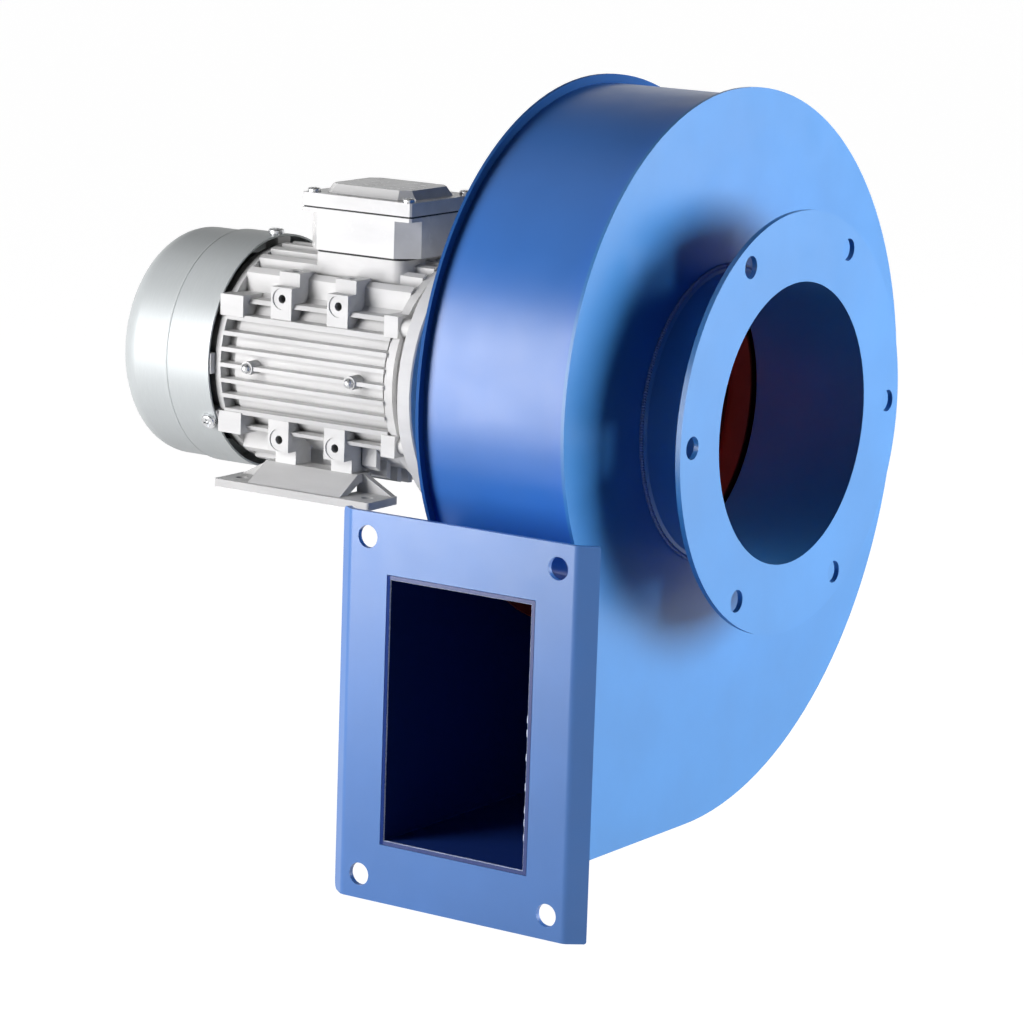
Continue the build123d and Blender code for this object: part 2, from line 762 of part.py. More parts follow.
# Rear endshield: bearing seat, register, ears for its screws and lugs for the cowl
rear_ear_face = frame_rear - rear_ear_depth
rear_cover = rear_bearing_back - rear_shield_cover
cowl_inner = cowl_radius - cowl_sheet
cowl_screw_x = cowl_front - cowl_screw_inset
cowl_screw_places = [
    Location((cowl_screw_x, 0, 0)) * Rotation(turn, 0, 0) * Location((0, 0, cowl_radius))
    for turn in (0, 120, 240)
]
with BuildPart() as rear_endshield:
    revolve(
        lathe_face((frame_rear + endshield_register, bore_radius), (frame_rear, bore_radius),
                   (frame_rear, rear_shield_radius), (frame_rear - rear_shield_rim, rear_shield_radius),
                   (rear_bearing_back, endshield_hub_radius + endshield_wall),
                   (rear_cover, endshield_hub_radius), (rear_cover, journal_clearance),
                   (rear_bearing_back, journal_clearance), (rear_bearing_back, bearing_outer_radius),
                   (rear_bearing_face, bearing_outer_radius), (rear_bearing_face, endshield_hub_radius),
                   (rear_bearing_back + endshield_wall, endshield_hub_radius),
                   (frame_rear - rear_shield_rim + endshield_wall, bore_radius - endshield_wall),
                   (frame_rear + endshield_register, bore_radius - endshield_wall)),
        axis=Axis.X,
    )
    with Locations(across(frame_rear)):
        with GridLocations(2 * lug_bolt_y, 2 * lug_bolt_z, 2, 2):
            Cylinder(ear_radius, rear_ear_depth, align=BACKWARD)
    with BuildPart(mode=Mode.PRIVATE) as cowl_lugs:
        with BuildSketch(across(frame_rear)):
            with PolarLocations((cowl_lug_inner + cowl_radius) / 2, cowl_screw_count, start_angle=90):
                Rectangle(cowl_radius - cowl_lug_inner, cowl_lug_width)
            with PolarLocations((cowl_lug_inner + cowl_radius) / 2, 2):
                Rectangle(cowl_radius - cowl_lug_inner, cowl_lug_width)
            Circle(cowl_inner, mode=Mode.INTERSECT)
        extrude(amount=-rear_ear_depth)
    add(cowl_lugs.part)
    with Locations(-across(rear_ear_face)):
        with GridLocations(2 * lug_bolt_y, 2 * lug_bolt_z, 2, 2):
            Hole(lug_bolt_size / 2, rear_ear_depth)
    with Locations(*cowl_screw_places):
        Hole(cowl_screw_size / 2, cowl_sheet + cowl_screw_thread)
finish(rear_endshield, "rear_endshield")

# Motor frame: a finned barrel between the endshields, with pads, lugs and the box pedestal
core_middle = (frame_front + frame_rear) / 2 + core_offset
ring_front = frame_front - front_ring
ring_rear = frame_rear + rear_ring
with BuildPart() as motor_frame:
    with Locations(across(frame_front)):
        Cylinder(barrel_radius, frame_length, align=BACKWARD)
    with BuildSketch(across(ring_rear), across(ring_front - relief_width)):
        Circle(barrel_radius)
        Circle(barrel_radius - relief_depth, mode=Mode.SUBTRACT)
    extrude(amount=relief_width, mode=Mode.SUBTRACT)
    with BuildSketch(across(ring_front)):
        with GridLocations(0, side_fin_pitch, 1, side_fin_count):
            Rectangle(2 * fin_radius, fin_thickness)
        with GridLocations(0, 2 * upper_fin_height, 1, 2):
            Rectangle(2 * fin_radius, fin_thickness)
        with GridLocations(0, 2 * ledge_height, 1, 2):
            Rectangle(2 * fin_radius, ledge_thickness)
        Circle(fin_radius, mode=Mode.INTERSECT)
    extrude(amount=ring_rear - ring_front)
    with BuildSketch(across(ring_rear)) as middle_fins:
        with GridLocations(top_fin_pitch, 0, top_fin_count, 1):
            Rectangle(top_fin_thickness, 2 * fin_radius)
        Circle(fin_radius, mode=Mode.INTERSECT)
        split(bisect_by=Plane.XZ, keep=Keep.TOP)
    extrude(amount=ring_front - top_fin_front_gap - ring_rear)
    with BuildSketch(across(ring_rear)) as outer_fins:
        with GridLocations(2 * outer_top_fin, 0, 2, 1):
            Rectangle(top_fin_thickness, 2 * fin_radius)
        Circle(fin_radius, mode=Mode.INTERSECT)
        split(bisect_by=Plane.XZ, keep=Keep.TOP)
    extrude(amount=frame_middle - pad_spacing / 2 - ring_rear)
    with BuildSketch(across(ring_front - fin_stub_inset)):
        add(outer_fins.sketch_local)
    extrude(amount=-fin_stub_length)
    with BuildSketch(across(ring_rear)):
        mirror(middle_fins.sketch_local, about=Plane.XZ)
        mirror(outer_fins.sketch_local, about=Plane.XZ)
    extrude(amount=ring_front - ring_rear)
    with Locations(across(frame_front)):
        Cylinder(ring_radius, front_ring, align=BACKWARD)
    with Locations(across(frame_rear)):
        Cylinder(ring_radius, rear_ring, align=FORWARD)
    with Locations((frame_middle, 0, 0)):
        with GridLocations(pad_spacing, 0, 2, 1):
            with Locations((0, 0, (pad_top + pad_bottom) / 2), (0, 0, -(pad_top + pad_bottom) / 2)):
                Box(pad_width, 2 * pad_face, pad_top - pad_bottom)
            with GridLocations(0, end_pad_outer + end_pad_inner, 1, 2):
                Box(pad_width, end_pad_outer - end_pad_inner, 2 * end_pad_face)
    with BuildSketch(across(frame_front)) as lug_faces:
        with GridLocations(0, lug_high + lug_low, 1, 2):
            Rectangle(2 * lug_reach, lug_high - lug_low)
    extrude(amount=-front_lug_length)
    with BuildSketch(across(frame_rear)):
        add(lug_faces.sketch_local)
    extrude(amount=rear_lug_length)
    with BuildSketch(Plane.XY.offset(pedestal_top)):
        with Locations((box_middle, 0)):
            RectangleRounded(pedestal_length, pedestal_width, pedestal_corner)
    extrude(amount=bore_radius - pedestal_top)
    with Locations(Location((frame_middle, 0, 0)) * Rotation(90, 0, 0)):
        with GridLocations(stud_boss_spacing, 0, 2, 1):
            Cylinder(stud_boss_radius, stud_boss_face, align=FORWARD)
    with Locations(across(frame_front)):
        Hole(bore_radius, frame_length)
    with Locations(Location((frame_middle, 0, 0)) * Rotation(90, 0, 0)):
        with Locations((0, 0, stud_boss_face)):
            with GridLocations(stud_boss_spacing, 0, 2, 1):
                Hole(drive_screw_radius, drive_screw_length)
    with Locations((box_middle, 0, 0)):
        Box(lead_opening, lead_opening, pedestal_top, align=FORWARD, mode=Mode.SUBTRACT)
    with Locations((box_middle, 0, pedestal_top)):
        with Locations(*box_screw_places):
            Hole(box_screw_size / 2, box_screw_length - floor_top + pedestal_top)
    with Locations(across(frame_front), -across(frame_rear)):
        with GridLocations(2 * lug_bolt_y, 2 * lug_bolt_z, 2, 2):
            Hole(lug_bolt_size / 2, lug_bolt_thread)
    for side in (90, -90):
        with Locations(Location((frame_middle, 0, 0)) * Rotation(side, 0, 0)):
            with Locations((0, 0, pad_face)):
                with GridLocations(pad_spacing, 2 * pad_hole_height, 2, 2):
                    Hole(pad_hole / 2, pad_hole_depth)
                    Hole(pad_spot / 2, pad_spot_depth)
    for side in (0, 180):
        with Locations(Location((frame_middle, 0, 0)) * Rotation(side, 0, 0)):
            with Locations((0, 0, end_pad_face)):
                with GridLocations(pad_spacing, end_pad_outer + end_pad_inner, 2, 2):
                    Hole(foot_bolt_size / 2, end_pad_hole_depth)
finish(motor_frame, "motor_frame")

# Stator core with its windings, and the rotor core with its end rings
core_front = core_middle + core_length / 2
core_rear = core_middle - core_length / 2
with BuildPart(across(core_front)) as stator_core:
    Cylinder(bore_radius, core_length, align=BACKWARD)
    Hole(stator_bore_radius)
finish(stator_core, "stator_core")
with BuildPart() as windings:
    for end, way in ((core_front, 1), (core_rear, -1)):
        revolve(
            lathe_face((end, winding_inner), (end, winding_outer),
                       (end + way * (winding_overhang - winding_round), winding_outer),
                       (end + way * winding_overhang, winding_outer - winding_round),
                       (end + way * winding_overhang, winding_inner + winding_round),
                       (end + way * (winding_overhang - winding_round), winding_inner)),
            axis=Axis.X,
        )
finish(windings, "windings")
with BuildPart() as rotor_core:
    with Locations(across(core_front)):
        Cylinder(stator_bore_radius - air_gap, core_length, align=BACKWARD)
    with Locations(across(core_front + end_ring_width)):
        Cylinder(end_ring_radius, core_length + 2 * end_ring_width, align=BACKWARD)
    with Locations(across(core_front + end_ring_width)):
        Hole(core_seat_radius)
finish(rotor_core, "rotor_core")

# Ball bearings in the endshields: outer rings, inner rings and balls
front_bearing_middle = front_bearing_face - bearing_width / 2
rear_bearing_middle = rear_bearing_face - bearing_width / 2
with BuildPart() as bearing_races:
    for middle in (front_bearing_middle, rear_bearing_middle):
        with BuildSketch(Plane.XZ):
            with Locations((middle, bearing_pitch_radius)):
                Circle(ball_radius + running_gap)
        revolve(axis=Axis.X)
with BuildPart() as bearing_outer_rings:
    with Locations(across(front_bearing_face), across(rear_bearing_face)):
        Cylinder(bearing_outer_radius, bearing_width, align=BACKWARD)
        Cylinder(bearing_pitch_radius + bearing_land, bearing_width, align=BACKWARD, mode=Mode.SUBTRACT)
    add(bearing_races.part, mode=Mode.SUBTRACT)
finish(bearing_outer_rings, "bearing_outer_rings")
with BuildPart() as bearing_inner_rings:
    with Locations(across(front_bearing_face), across(rear_bearing_face)):
        Cylinder(bearing_pitch_radius - bearing_land, bearing_width, align=BACKWARD)
        Cylinder(bearing_bore_radius, bearing_width, align=BACKWARD, mode=Mode.SUBTRACT)
    add(bearing_races.part, mode=Mode.SUBTRACT)
finish(bearing_inner_rings, "bearing_inner_rings")
with BuildPart() as bearing_balls:
    with Locations(across(front_bearing_middle), across(rear_bearing_middle)):
        with PolarLocations(bearing_pitch_radius, ball_count):
            Sphere(ball_radius)
finish(bearing_balls, "bearing_balls")

# Cooling fan with straight blades, and the circlip behind it
fan_front = rear_bearing_back - fan_gap
with BuildPart() as cooling_fan:
    with Locations(across(fan_front)):
        Cylinder(fan_hub_radius, fan_width, align=BACKWARD)
        Cylinder(fan_radius, fan_sheet, align=BACKWARD)
    with BuildSketch(across(fan_front)):
        with PolarLocations((fan_radius + fan_hub_radius) / 2, fan_blades):
            Rectangle(fan_radius - fan_hub_radius + fan_sheet, fan_sheet)
        Circle(fan_radius, mode=Mode.INTERSECT)
    extrude(amount=-fan_width)
    with Locations(across(fan_front)):
        Hole(shaft_radius, fan_width)
finish(cooling_fan, "cooling_fan")
with BuildPart() as fan_circlip:
    with BuildSketch(across(circlip_back)):
        Circle(circlip_radius)
        Circle(circlip_seat_radius, mode=Mode.SUBTRACT)
        with Locations((0, circlip_radius)):
            Rectangle(circlip_mouth, 2 * circlip_radius - circlip_mouth, mode=Mode.SUBTRACT)
    extrude(amount=circlip_width)
finish(fan_circlip, "fan_circlip")

# Fan cowl: a stepped sheet shell with a slotted rear wall
cowl_step_x = cowl_front - cowl_step
tail_inner = cowl_tail_radius - cowl_sheet
with BuildPart() as fan_cowl:
    with BuildSketch(Plane.XZ) as cowl_outer:
        with BuildLine():
            Polyline((cowl_front, 0), (cowl_front, cowl_radius), (cowl_step_x, cowl_radius),
                     (cowl_step_x - cowl_sheet, cowl_tail_radius), (cowl_rear, cowl_tail_radius),
                     (cowl_rear, 0), close=True)
        make_face()
        fillet(cowl_outer.vertices().sort_by_distance((cowl_rear, cowl_tail_radius, 0))[0], cowl_corner)
    revolve(axis=Axis.X)
    with BuildSketch(Plane.XZ) as cowl_hollow:
        with BuildLine():
            Polyline((cowl_front, 0), (cowl_front, cowl_inner), (cowl_step_x, cowl_inner),
                     (cowl_step_x - cowl_sheet, tail_inner), (cowl_rear + cowl_sheet, tail_inner),
                     (cowl_rear + cowl_sheet, 0), close=True)
        make_face()
        fillet(cowl_hollow.vertices().sort_by_distance((cowl_rear + cowl_sheet, tail_inner, 0))[0],
               cowl_corner - cowl_sheet)
    revolve(axis=Axis.X, mode=Mode.SUBTRACT)
    with BuildSketch(across(cowl_rear)):
        for ring in reversed(range(grille_rings)):
            Circle(grille_ring_start + ring * grille_pitch + grille_slot / 2)
            Circle(grille_ring_start + ring * grille_pitch - grille_slot / 2, mode=Mode.SUBTRACT)
        with PolarLocations(cowl_radius / 2, grille_web_count):
            Rectangle(cowl_radius, grille_web, mode=Mode.SUBTRACT)
    extrude(amount=cowl_sheet, mode=Mode.SUBTRACT)
    with Locations(*cowl_screw_places):
        Hole(cowl_screw_size / 2, 2 * cowl_sheet)
finish(fan_cowl, "fan_cowl")

# Screws: cowl to its lugs, both endshields to the frame, and the pair on the bosses
with BuildPart() as cowl_screws:
    with Locations(*cowl_screw_places):
        add(pan_screw(cowl_screw_size, cowl_sheet + cowl_screw_thread))
finish(cowl_screws, "cowl_screws")
with BuildPart() as front_shield_screws:
    with Locations(across(motor_face - front_screw_seat)):
        with GridLocations(2 * lug_bolt_y, 2 * lug_bolt_z, 2, 2):
            add(cap_screw(lug_bolt_size, endshield_depth - front_screw_seat + lug_bolt_thread))
finish(front_shield_screws, "front_shield_screws")
with BuildPart() as rear_shield_screws:
    with Locations(-across(rear_ear_face)):
        with GridLocations(2 * lug_bolt_y, 2 * lug_bolt_z, 2, 2):
            add(cap_screw(lug_bolt_size, rear_ear_depth + lug_bolt_thread))
finish(rear_shield_screws, "rear_shield_screws")
with BuildPart() as drive_screws:
    with Locations(Location((frame_middle, 0, 0)) * Rotation(90, 0, 0)):
        with Locations((0, 0, stud_boss_face)):
            with GridLocations(stud_boss_spacing, 0, 2, 1):
                Cylinder(drive_screw_radius, drive_screw_length, align=BACKWARD)
                Sphere(drive_screw_head, arc_size1=0, align=FORWARD)
finish(drive_screws, "drive_screws")

# Feet: a base with a sloping web up to a shelf under the frame's pads, and a gusset at each end
base_top = foot_plate - shaft_height
shelf_face = -end_pad_face
shelf_low = shelf_face - foot_shelf
web_root = foot_outer - foot_web_edge
gusset_run = foot_length / 2 - foot_gusset_lead
with BuildPart() as motor_foot:
    with Locations((foot_middle, (foot_outer + foot_inner) / 2, -shaft_height)):
        Box(foot_length, foot_outer - foot_inner, foot_plate, align=(Align.CENTER, Align.CENTER, Align.MIN))
    fillet(motor_foot.edges().filter_by(Axis.Z), foot_corner)
    with BuildSketch(across(foot_middle)):
        Polygon((web_root, base_top), (foot_web_top, shelf_face), (foot_shelf_inner, shelf_face),
                (foot_shelf_inner, shelf_low), (foot_web_top - foot_web_sheet / 2, shelf_low),
                (web_root - 2 * foot_web_sheet, base_top), align=None)
    extrude(amount=foot_web_length / 2, both=True)
    with BuildSketch(Plane.XZ.offset(-foot_inner)):
        Polygon((foot_middle - gusset_run, base_top), (foot_middle - foot_web_length / 2, shelf_face),
                (foot_middle + foot_web_length / 2, shelf_face), (foot_middle + gusset_run, base_top),
                align=None)
    extrude(amount=-foot_gusset)
    with Locations((foot_middle, foot_inner, -shaft_height)):
        Box(foot_web_length - 2 * foot_web_sheet, 2 * (foot_web_top - foot_inner),
            shaft_height - end_pad_face - foot_shelf, align=(Align.CENTER, Align.CENTER, Align.MIN),
            mode=Mode.SUBTRACT)
    with Locations((foot_middle, foot_hole_y / 2, base_top)):
        with GridLocations(foot_hole_x, 0, 2, 1):
            Hole(foot_hole / 2, foot_plate)
    with Locations((frame_middle, (end_pad_outer + end_pad_inner) / 2, shelf_face)):
        with GridLocations(pad_spacing, 0, 2, 1):
            Hole(foot_bolt_size / 2 + bolt_clearance, foot_shelf)
finish(motor_foot, "motor_foot_left")
with BuildPart() as other_foot:
    add(motor_foot.part.mirror(Plane.XZ))
finish(other_foot, "motor_foot_right")
with BuildPart() as foot_bolts:
    with Locations(Location((frame_middle, 0, shelf_low)) * Rotation(180, 0, 0)):
        with GridLocations(pad_spacing, end_pad_outer + end_pad_inner, 2, 2):
            add(hex_bolt(foot_bolt_size, foot_bolt_length))
finish(foot_bolts, "foot_bolts")

# Terminal box: a body with cut corners under a square rim, seated on the pedestal with a gasket


def box_outline(height, inset, cut):
    """Rectangle of the terminal box at a height, drawn in by inset, with its corners cut."""
    with BuildSketch(Plane((box_middle, 0, height))) as outline:
        Rectangle(box_length - 2 * inset, box_width - 2 * inset)
        chamfer(outline.vertices(), cut)
    return outline.sketch


lid_screw_places = GridLocations(box_length - 2 * lid_screw_inset,
                                 box_width - 2 * lid_screw_inset, 2, 2).locations
gasket_base = lid_base - lid_gasket_sheet
gland_place = Location((box_middle, box_width / 2, gland_height)) * Rotation(-90, 0, 0)
with BuildPart() as terminal_box:
    extrude(box_outline(box_base, 0, box_corner), amount=box_rim_base - box_base)
    extrude(box_outline(box_rim_base, 0, rim_corner), amount=gasket_base - box_rim_base)
    extrude(box_outline(floor_top, box_wall, box_corner), amount=gasket_base - floor_top, mode=Mode.SUBTRACT)
    with Locations((box_middle, 0, box_base)):
        Box(lead_opening, lead_opening, 2 * box_floor, mode=Mode.SUBTRACT)
    with Locations((box_middle, 0, floor_top)):
        with Locations(*box_screw_places):
            Hole(box_screw_size / 2, box_floor)
    with Locations((box_middle, 0, gasket_base)):
        with Locations(*lid_screw_places):
            Hole(lid_screw_size / 2, gasket_base - box_rim_base)
    with Locations(gland_place):
        Hole(gland_size / 2, 2 * box_wall)
finish(terminal_box, "terminal_box")

# Gaskets under the box and under its lid
with BuildPart() as box_gasket:
    with BuildSketch(Plane((box_middle, 0, pedestal_top))):
        RectangleRounded(pedestal_length - gasket_inset, pedestal_width - gasket_inset, pedestal_corner)
        Rectangle(lead_opening, lead_opening, mode=Mode.SUBTRACT)
        with Locations(*box_screw_places):
            Circle(box_screw_size / 2, mode=Mode.SUBTRACT)
    extrude(amount=box_base - pedestal_top)
finish(box_gasket, "box_gasket")
with BuildPart() as lid_gasket:
    extrude(box_outline(gasket_base, gasket_inset, rim_corner), amount=lid_gasket_sheet)
    extrude(box_outline(gasket_base, box_wall, box_corner), amount=lid_gasket_sheet, mode=Mode.SUBTRACT)
    with Locations((box_middle, 0, lid_base)):
        with Locations(*lid_screw_places):
            Hole(lid_screw_size / 2, lid_gasket_sheet)
finish(lid_gasket, "lid_gasket")

# Lid: a square-cornered slab with a bevelled crown, hollow below
crown_height = crown_top - lid_top
with BuildPart() as box_lid:
    extrude(box_outline(lid_base, 0, rim_corner), amount=lid_top - lid_base)
    extrude(box_outline(lid_top, crown_margin, crown_corner), amount=crown_height, taper=crown_draft)
    extrude(box_outline(lid_base, crown_margin + crown_wall, crown_corner), amount=lid_top - lid_base,
            mode=Mode.SUBTRACT)
    extrude(box_outline(lid_top, crown_margin + crown_wall, crown_corner), amount=crown_height - crown_wall,
            taper=crown_draft, mode=Mode.SUBTRACT)
    with Locations((box_middle, 0, lid_top)):
        with Locations(*lid_screw_places):
            Hole(lid_screw_size / 2, lid_top - lid_base)
finish(box_lid, "box_lid")

# Screws of the lid and of the box
with BuildPart() as lid_screws:
    with Locations((box_middle, 0, lid_top)):
        with Locations(*lid_screw_places):
            add(pan_screw(lid_screw_size, lid_top - box_rim_base))
finish(lid_screws, "lid_screws")
with BuildPart() as box_screws:
    with Locations((box_middle, 0, floor_top)):
        with Locations(*box_screw_places):
            add(pan_screw(box_screw_size, box_screw_length))
finish(box_screws, "box_screws")

# Terminal block on the floor of the box, and its six studs
with BuildPart() as terminal_block:
    with Locations((box_middle, 0, floor_top)):
        Box(block_length, block_width, block_height, align=FORWARD)
        with Locations((0, 0, block_height)):
            with GridLocations(terminal_pitch, block_width / 2, 3, 2):
                Hole(terminal_size / 2, block_height / 2)
finish(terminal_block, "terminal_block")
with BuildPart() as terminal_studs:
    with Locations((box_middle, 0, floor_top + block_height)):
        with GridLocations(terminal_pitch, block_width / 2, 3, 2):
            Cylinder(terminal_size / 2, terminal_height, align=FORWARD)
            Cylinder(terminal_size / 2, block_height / 2, align=BACKWARD)
            Cylinder(terminal_nut_radius, terminal_nut, align=FORWARD)
finish(terminal_studs, "terminal_studs")

# Cable gland in the far wall of the box
with BuildPart() as cable_gland:
    with Locations(gland_place):
        Cylinder(gland_size / 2, gland_thread, align=BACKWARD)
        with BuildSketch(Plane(gland_place)):
            RegularPolygon(gland_hex, 6)
        extrude(amount=gland_hex_height)
        Cylinder(gland_cap_radius, gland_length, align=FORWARD)
    fillet(cable_gland.edges().filter_by(GeomType.CIRCLE).group_by(Axis.Y)[-1], gland_round)
    with Locations(gland_place * Location((0, 0, gland_length))):
        Hole(gland_bore, gland_length + gland_thread)
finish(cable_gland, "cable_gland")
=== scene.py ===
"""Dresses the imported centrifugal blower: painted sheet, cast aluminium, weld beads and a pale studio."""

import math

import bmesh
import bpy
from mathutils import Matrix, Vector


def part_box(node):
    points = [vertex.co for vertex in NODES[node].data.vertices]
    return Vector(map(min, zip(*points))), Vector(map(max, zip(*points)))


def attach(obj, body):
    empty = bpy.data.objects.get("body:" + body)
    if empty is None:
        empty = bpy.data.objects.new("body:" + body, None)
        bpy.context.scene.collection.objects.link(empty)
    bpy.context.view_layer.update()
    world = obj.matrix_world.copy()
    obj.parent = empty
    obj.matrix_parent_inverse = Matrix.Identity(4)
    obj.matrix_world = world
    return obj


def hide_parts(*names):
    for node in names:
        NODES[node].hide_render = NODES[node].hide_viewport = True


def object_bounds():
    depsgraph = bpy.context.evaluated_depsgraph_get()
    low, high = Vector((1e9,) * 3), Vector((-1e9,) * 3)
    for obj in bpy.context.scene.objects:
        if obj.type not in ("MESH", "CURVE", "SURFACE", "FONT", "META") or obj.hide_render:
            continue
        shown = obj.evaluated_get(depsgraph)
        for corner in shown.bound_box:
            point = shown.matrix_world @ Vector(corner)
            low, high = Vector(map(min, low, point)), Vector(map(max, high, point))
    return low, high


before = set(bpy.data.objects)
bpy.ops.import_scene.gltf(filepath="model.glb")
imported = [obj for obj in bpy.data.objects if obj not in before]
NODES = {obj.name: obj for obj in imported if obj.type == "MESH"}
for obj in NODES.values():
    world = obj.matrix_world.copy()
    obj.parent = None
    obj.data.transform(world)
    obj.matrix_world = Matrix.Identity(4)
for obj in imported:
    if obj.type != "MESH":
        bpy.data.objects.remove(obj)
CAD_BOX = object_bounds()
MM = 0.001

# Thickness of the scroll's sheet, and how deep behind the outlet flange's front its cut ends get painted
# shade
SHEET = 2.0 * MM
MOUTH_DEPTH = 3.0 * MM

# Along Y: where the outlet duct begins, and the line that its inner faces look towards
DUCT_START = -122.0 * MM
DUCT_CENTRE = -100.0 * MM

# From the fan cowl's open end to its step
COWL_STEP = 31.2 * MM

# A face looks along an axis when its normal has more than this share of it
FACING = 0.5

# Half the floor's width and its gap below the blower; the camera's place, angles in degrees and lens
FLOOR_REACH = 30.0
FLOOR_GAP = 0.2 * MM
CAMERA_PLACE = (1.1517, -2.0024, 0.3961)
CAMERA_AZIMUTH = 33.68
CAMERA_TILT = 11.06
CAMERA_ROLL = 1.91
CAMERA_LENS = 150.4

bl_info = {
    "name": "Centrifugal Blower",
    "version": (1, 0, 0),
    "blender": (4, 5, 0),
    "location": "View3D > Sidebar > Blower",
    "description": "Finishes for a scroll-cased blower with a finned motor, its weld beads and its studio",
    "category": "Object",
}


class BlowerPaint(bpy.types.PropertyGroup):
    """Paint of the casing and the impeller."""

    casing: bpy.props.FloatVectorProperty(
        name="Casing", description="Blue paint of the scroll casing", subtype="COLOR",
        default=(0.046, 0.224, 0.565), min=0.0, max=1.0)
    # The wrapper's blue is a darker, less green copy of the casing blue: painted shade, for its shaded parts.
    wrapper: bpy.props.FloatVectorProperty(
        name="Wrapper", description="Blue paint of the rolled scroll wrapper", subtype="COLOR",
        default=(0.034, 0.172, 0.57), min=0.0, max=1.0)
    outlet: bpy.props.FloatVectorProperty(
        name="Outlet flange", description="Blue paint of the outlet flange", subtype="COLOR",
        default=(0.045, 0.180, 0.53), min=0.0, max=1.0)
    # The inside colour is painted shade: a dark blue laid on the inner faces and cut ends, where shade falls.
    inner: bpy.props.FloatVectorProperty(
        name="Inside", description="Thin dark paint inside the scroll and the outlet duct", subtype="COLOR",
        default=(0.009, 0.034, 0.19), min=0.0, max=1.0)
    impeller: bpy.props.FloatVectorProperty(
        name="Impeller", description="Red-brown primer of the impeller", subtype="COLOR",
        default=(0.33, 0.050, 0.030), min=0.0, max=1.0)
    gloss: bpy.props.FloatProperty(
        name="Roughness", description="Roughness of the paint film", default=0.34, min=0.05, max=1.0,
        subtype="FACTOR")
    peel: bpy.props.FloatProperty(
        name="Orange peel", description="Spacing of the ripples in the sprayed paint",
        default=1.6 * MM, min=0.2 * MM, max=10 * MM, subtype="DISTANCE", unit="LENGTH")


class BlowerMetal(bpy.types.PropertyGroup):
    """Bare and plated metals of the motor and its fasteners."""

    casting: bpy.props.FloatVectorProperty(
        name="Castings", description="Die-cast aluminium of the frame, shields and feet", subtype="COLOR",
        default=(0.71, 0.71, 0.705), min=0.0, max=1.0)
    cowl: bpy.props.FloatVectorProperty(
        name="Fan cowl", description="Pale finish of the drawn fan cowl", subtype="COLOR",
        default=(0.52, 0.55, 0.555), min=0.0, max=1.0)
    zinc: bpy.props.FloatVectorProperty(
        name="Zinc", description="Bright plate on screws, nuts and bolts", subtype="COLOR",
        default=(0.66, 0.67, 0.68), min=0.0, max=1.0)
    steel: bpy.props.FloatVectorProperty(
        name="Steel", description="Ground steel of the shaft, bearings and cores", subtype="COLOR",
        default=(0.50, 0.50, 0.51), min=0.0, max=1.0)
    bead: bpy.props.FloatProperty(
        name="Cowl bead", description="Radius of the raised bead at the cowl's step",
        default=0.95 * MM, min=0.2 * MM, max=2 * MM, subtype="DISTANCE", unit="LENGTH")
    sand: bpy.props.FloatProperty(
        name="Casting grain", description="Spacing of the grain on the cast faces",
        default=0.7 * MM, min=0.1 * MM, max=5 * MM, subtype="DISTANCE", unit="LENGTH")


class BlowerWelds(bpy.types.PropertyGroup):
    """Weld beads round the inlet duct and the outlet's mouth."""

    # The beads' paler blue is worn paint and a painted highlight, so the bead shows as a bright line in
    # shade.
    colour: bpy.props.FloatVectorProperty(
        name="Beads", description="Thin worn paint on the weld beads", subtype="COLOR",
        default=(0.16, 0.27, 0.56), min=0.0, max=1.0)
    # The mouth edge's pale colour is rubbed paint and a painted highlight along the seam.
    seam_wear_and_highlight: bpy.props.FloatVectorProperty(
        name="Mouth edge", description="Rubbed pale paint on the seam round the outlet's mouth",
        subtype="COLOR", default=(0.62, 0.70, 0.90), min=0.0, max=1.0)
    pitch: bpy.props.FloatProperty(
        name="Ripple pitch", description="Distance from one weld ripple to the next",
        default=1.5 * MM, min=0.5 * MM, max=6 * MM, subtype="DISTANCE", unit="LENGTH")
    radius: bpy.props.FloatProperty(
        name="Bead radius", description="Radius of the weld bead",
        default=1.3 * MM, min=0.5 * MM, max=5 * MM, subtype="DISTANCE", unit="LENGTH")
    seam: bpy.props.FloatProperty(
        name="Mouth seam", description="Radius of the fine seam round the outlet's mouth",
        default=0.5 * MM, min=0.2 * MM, max=3 * MM, subtype="DISTANCE", unit="LENGTH")
    tacks: bpy.props.IntProperty(
        name="Tacks", description="Number of tack welds down the near side of the mouth", default=7,
        min=1, max=30)
    seed: bpy.props.IntProperty(name="Seed", description="Seed of the uneven ripples", default=7, min=0)


class BlowerStage(bpy.types.PropertyGroup):
    """Floor, lamps and world."""

    floor: bpy.props.FloatVectorProperty(
        name="Floor", description="Colour of the floor in the lamps' light", subtype="COLOR",
        default=(0.15, 0.15, 0.15), min=0.0, max=1.0)
    glow: bpy.props.FloatProperty(
        name="Floor white", description="White that the floor shows beside the lamps' light and shadow",
        default=0.955, min=0.0, max=1.0, subtype="FACTOR")
    ceiling: bpy.props.FloatProperty(
        name="Ceiling", description="Brightness of the studio's ceiling, beside 1 for its walls",
        default=0.12, min=0.0, max=1.0, subtype="FACTOR")
    key: bpy.props.FloatProperty(
        name="Inlet lamp", description="Power of the soft lamp on the inlet side", default=73.0, min=0.0,
        subtype="POWER", unit="POWER")
    front: bpy.props.FloatProperty(
        name="Outlet lamp", description="Power of the soft lamp in front of the outlet", default=13.0,
        min=0.0, subtype="POWER", unit="POWER")
    top: bpy.props.FloatProperty(
        name="Top lamp", description="Power of the soft lamp overhead", default=2.0, min=0.0,
        subtype="POWER", unit="POWER")
    world: bpy.props.FloatProperty(
        name="World light", description="Strength of the even light from all round", default=0.01, min=0.0)


GROUPS = {"blower_paint": BlowerPaint, "blower_metal": BlowerMetal, "blower_welds": BlowerWelds,
          "blower_stage": BlowerStage}


def link(tree, start, end):
    """Join two sockets of a node tree."""
    tree.links.new(start, end)


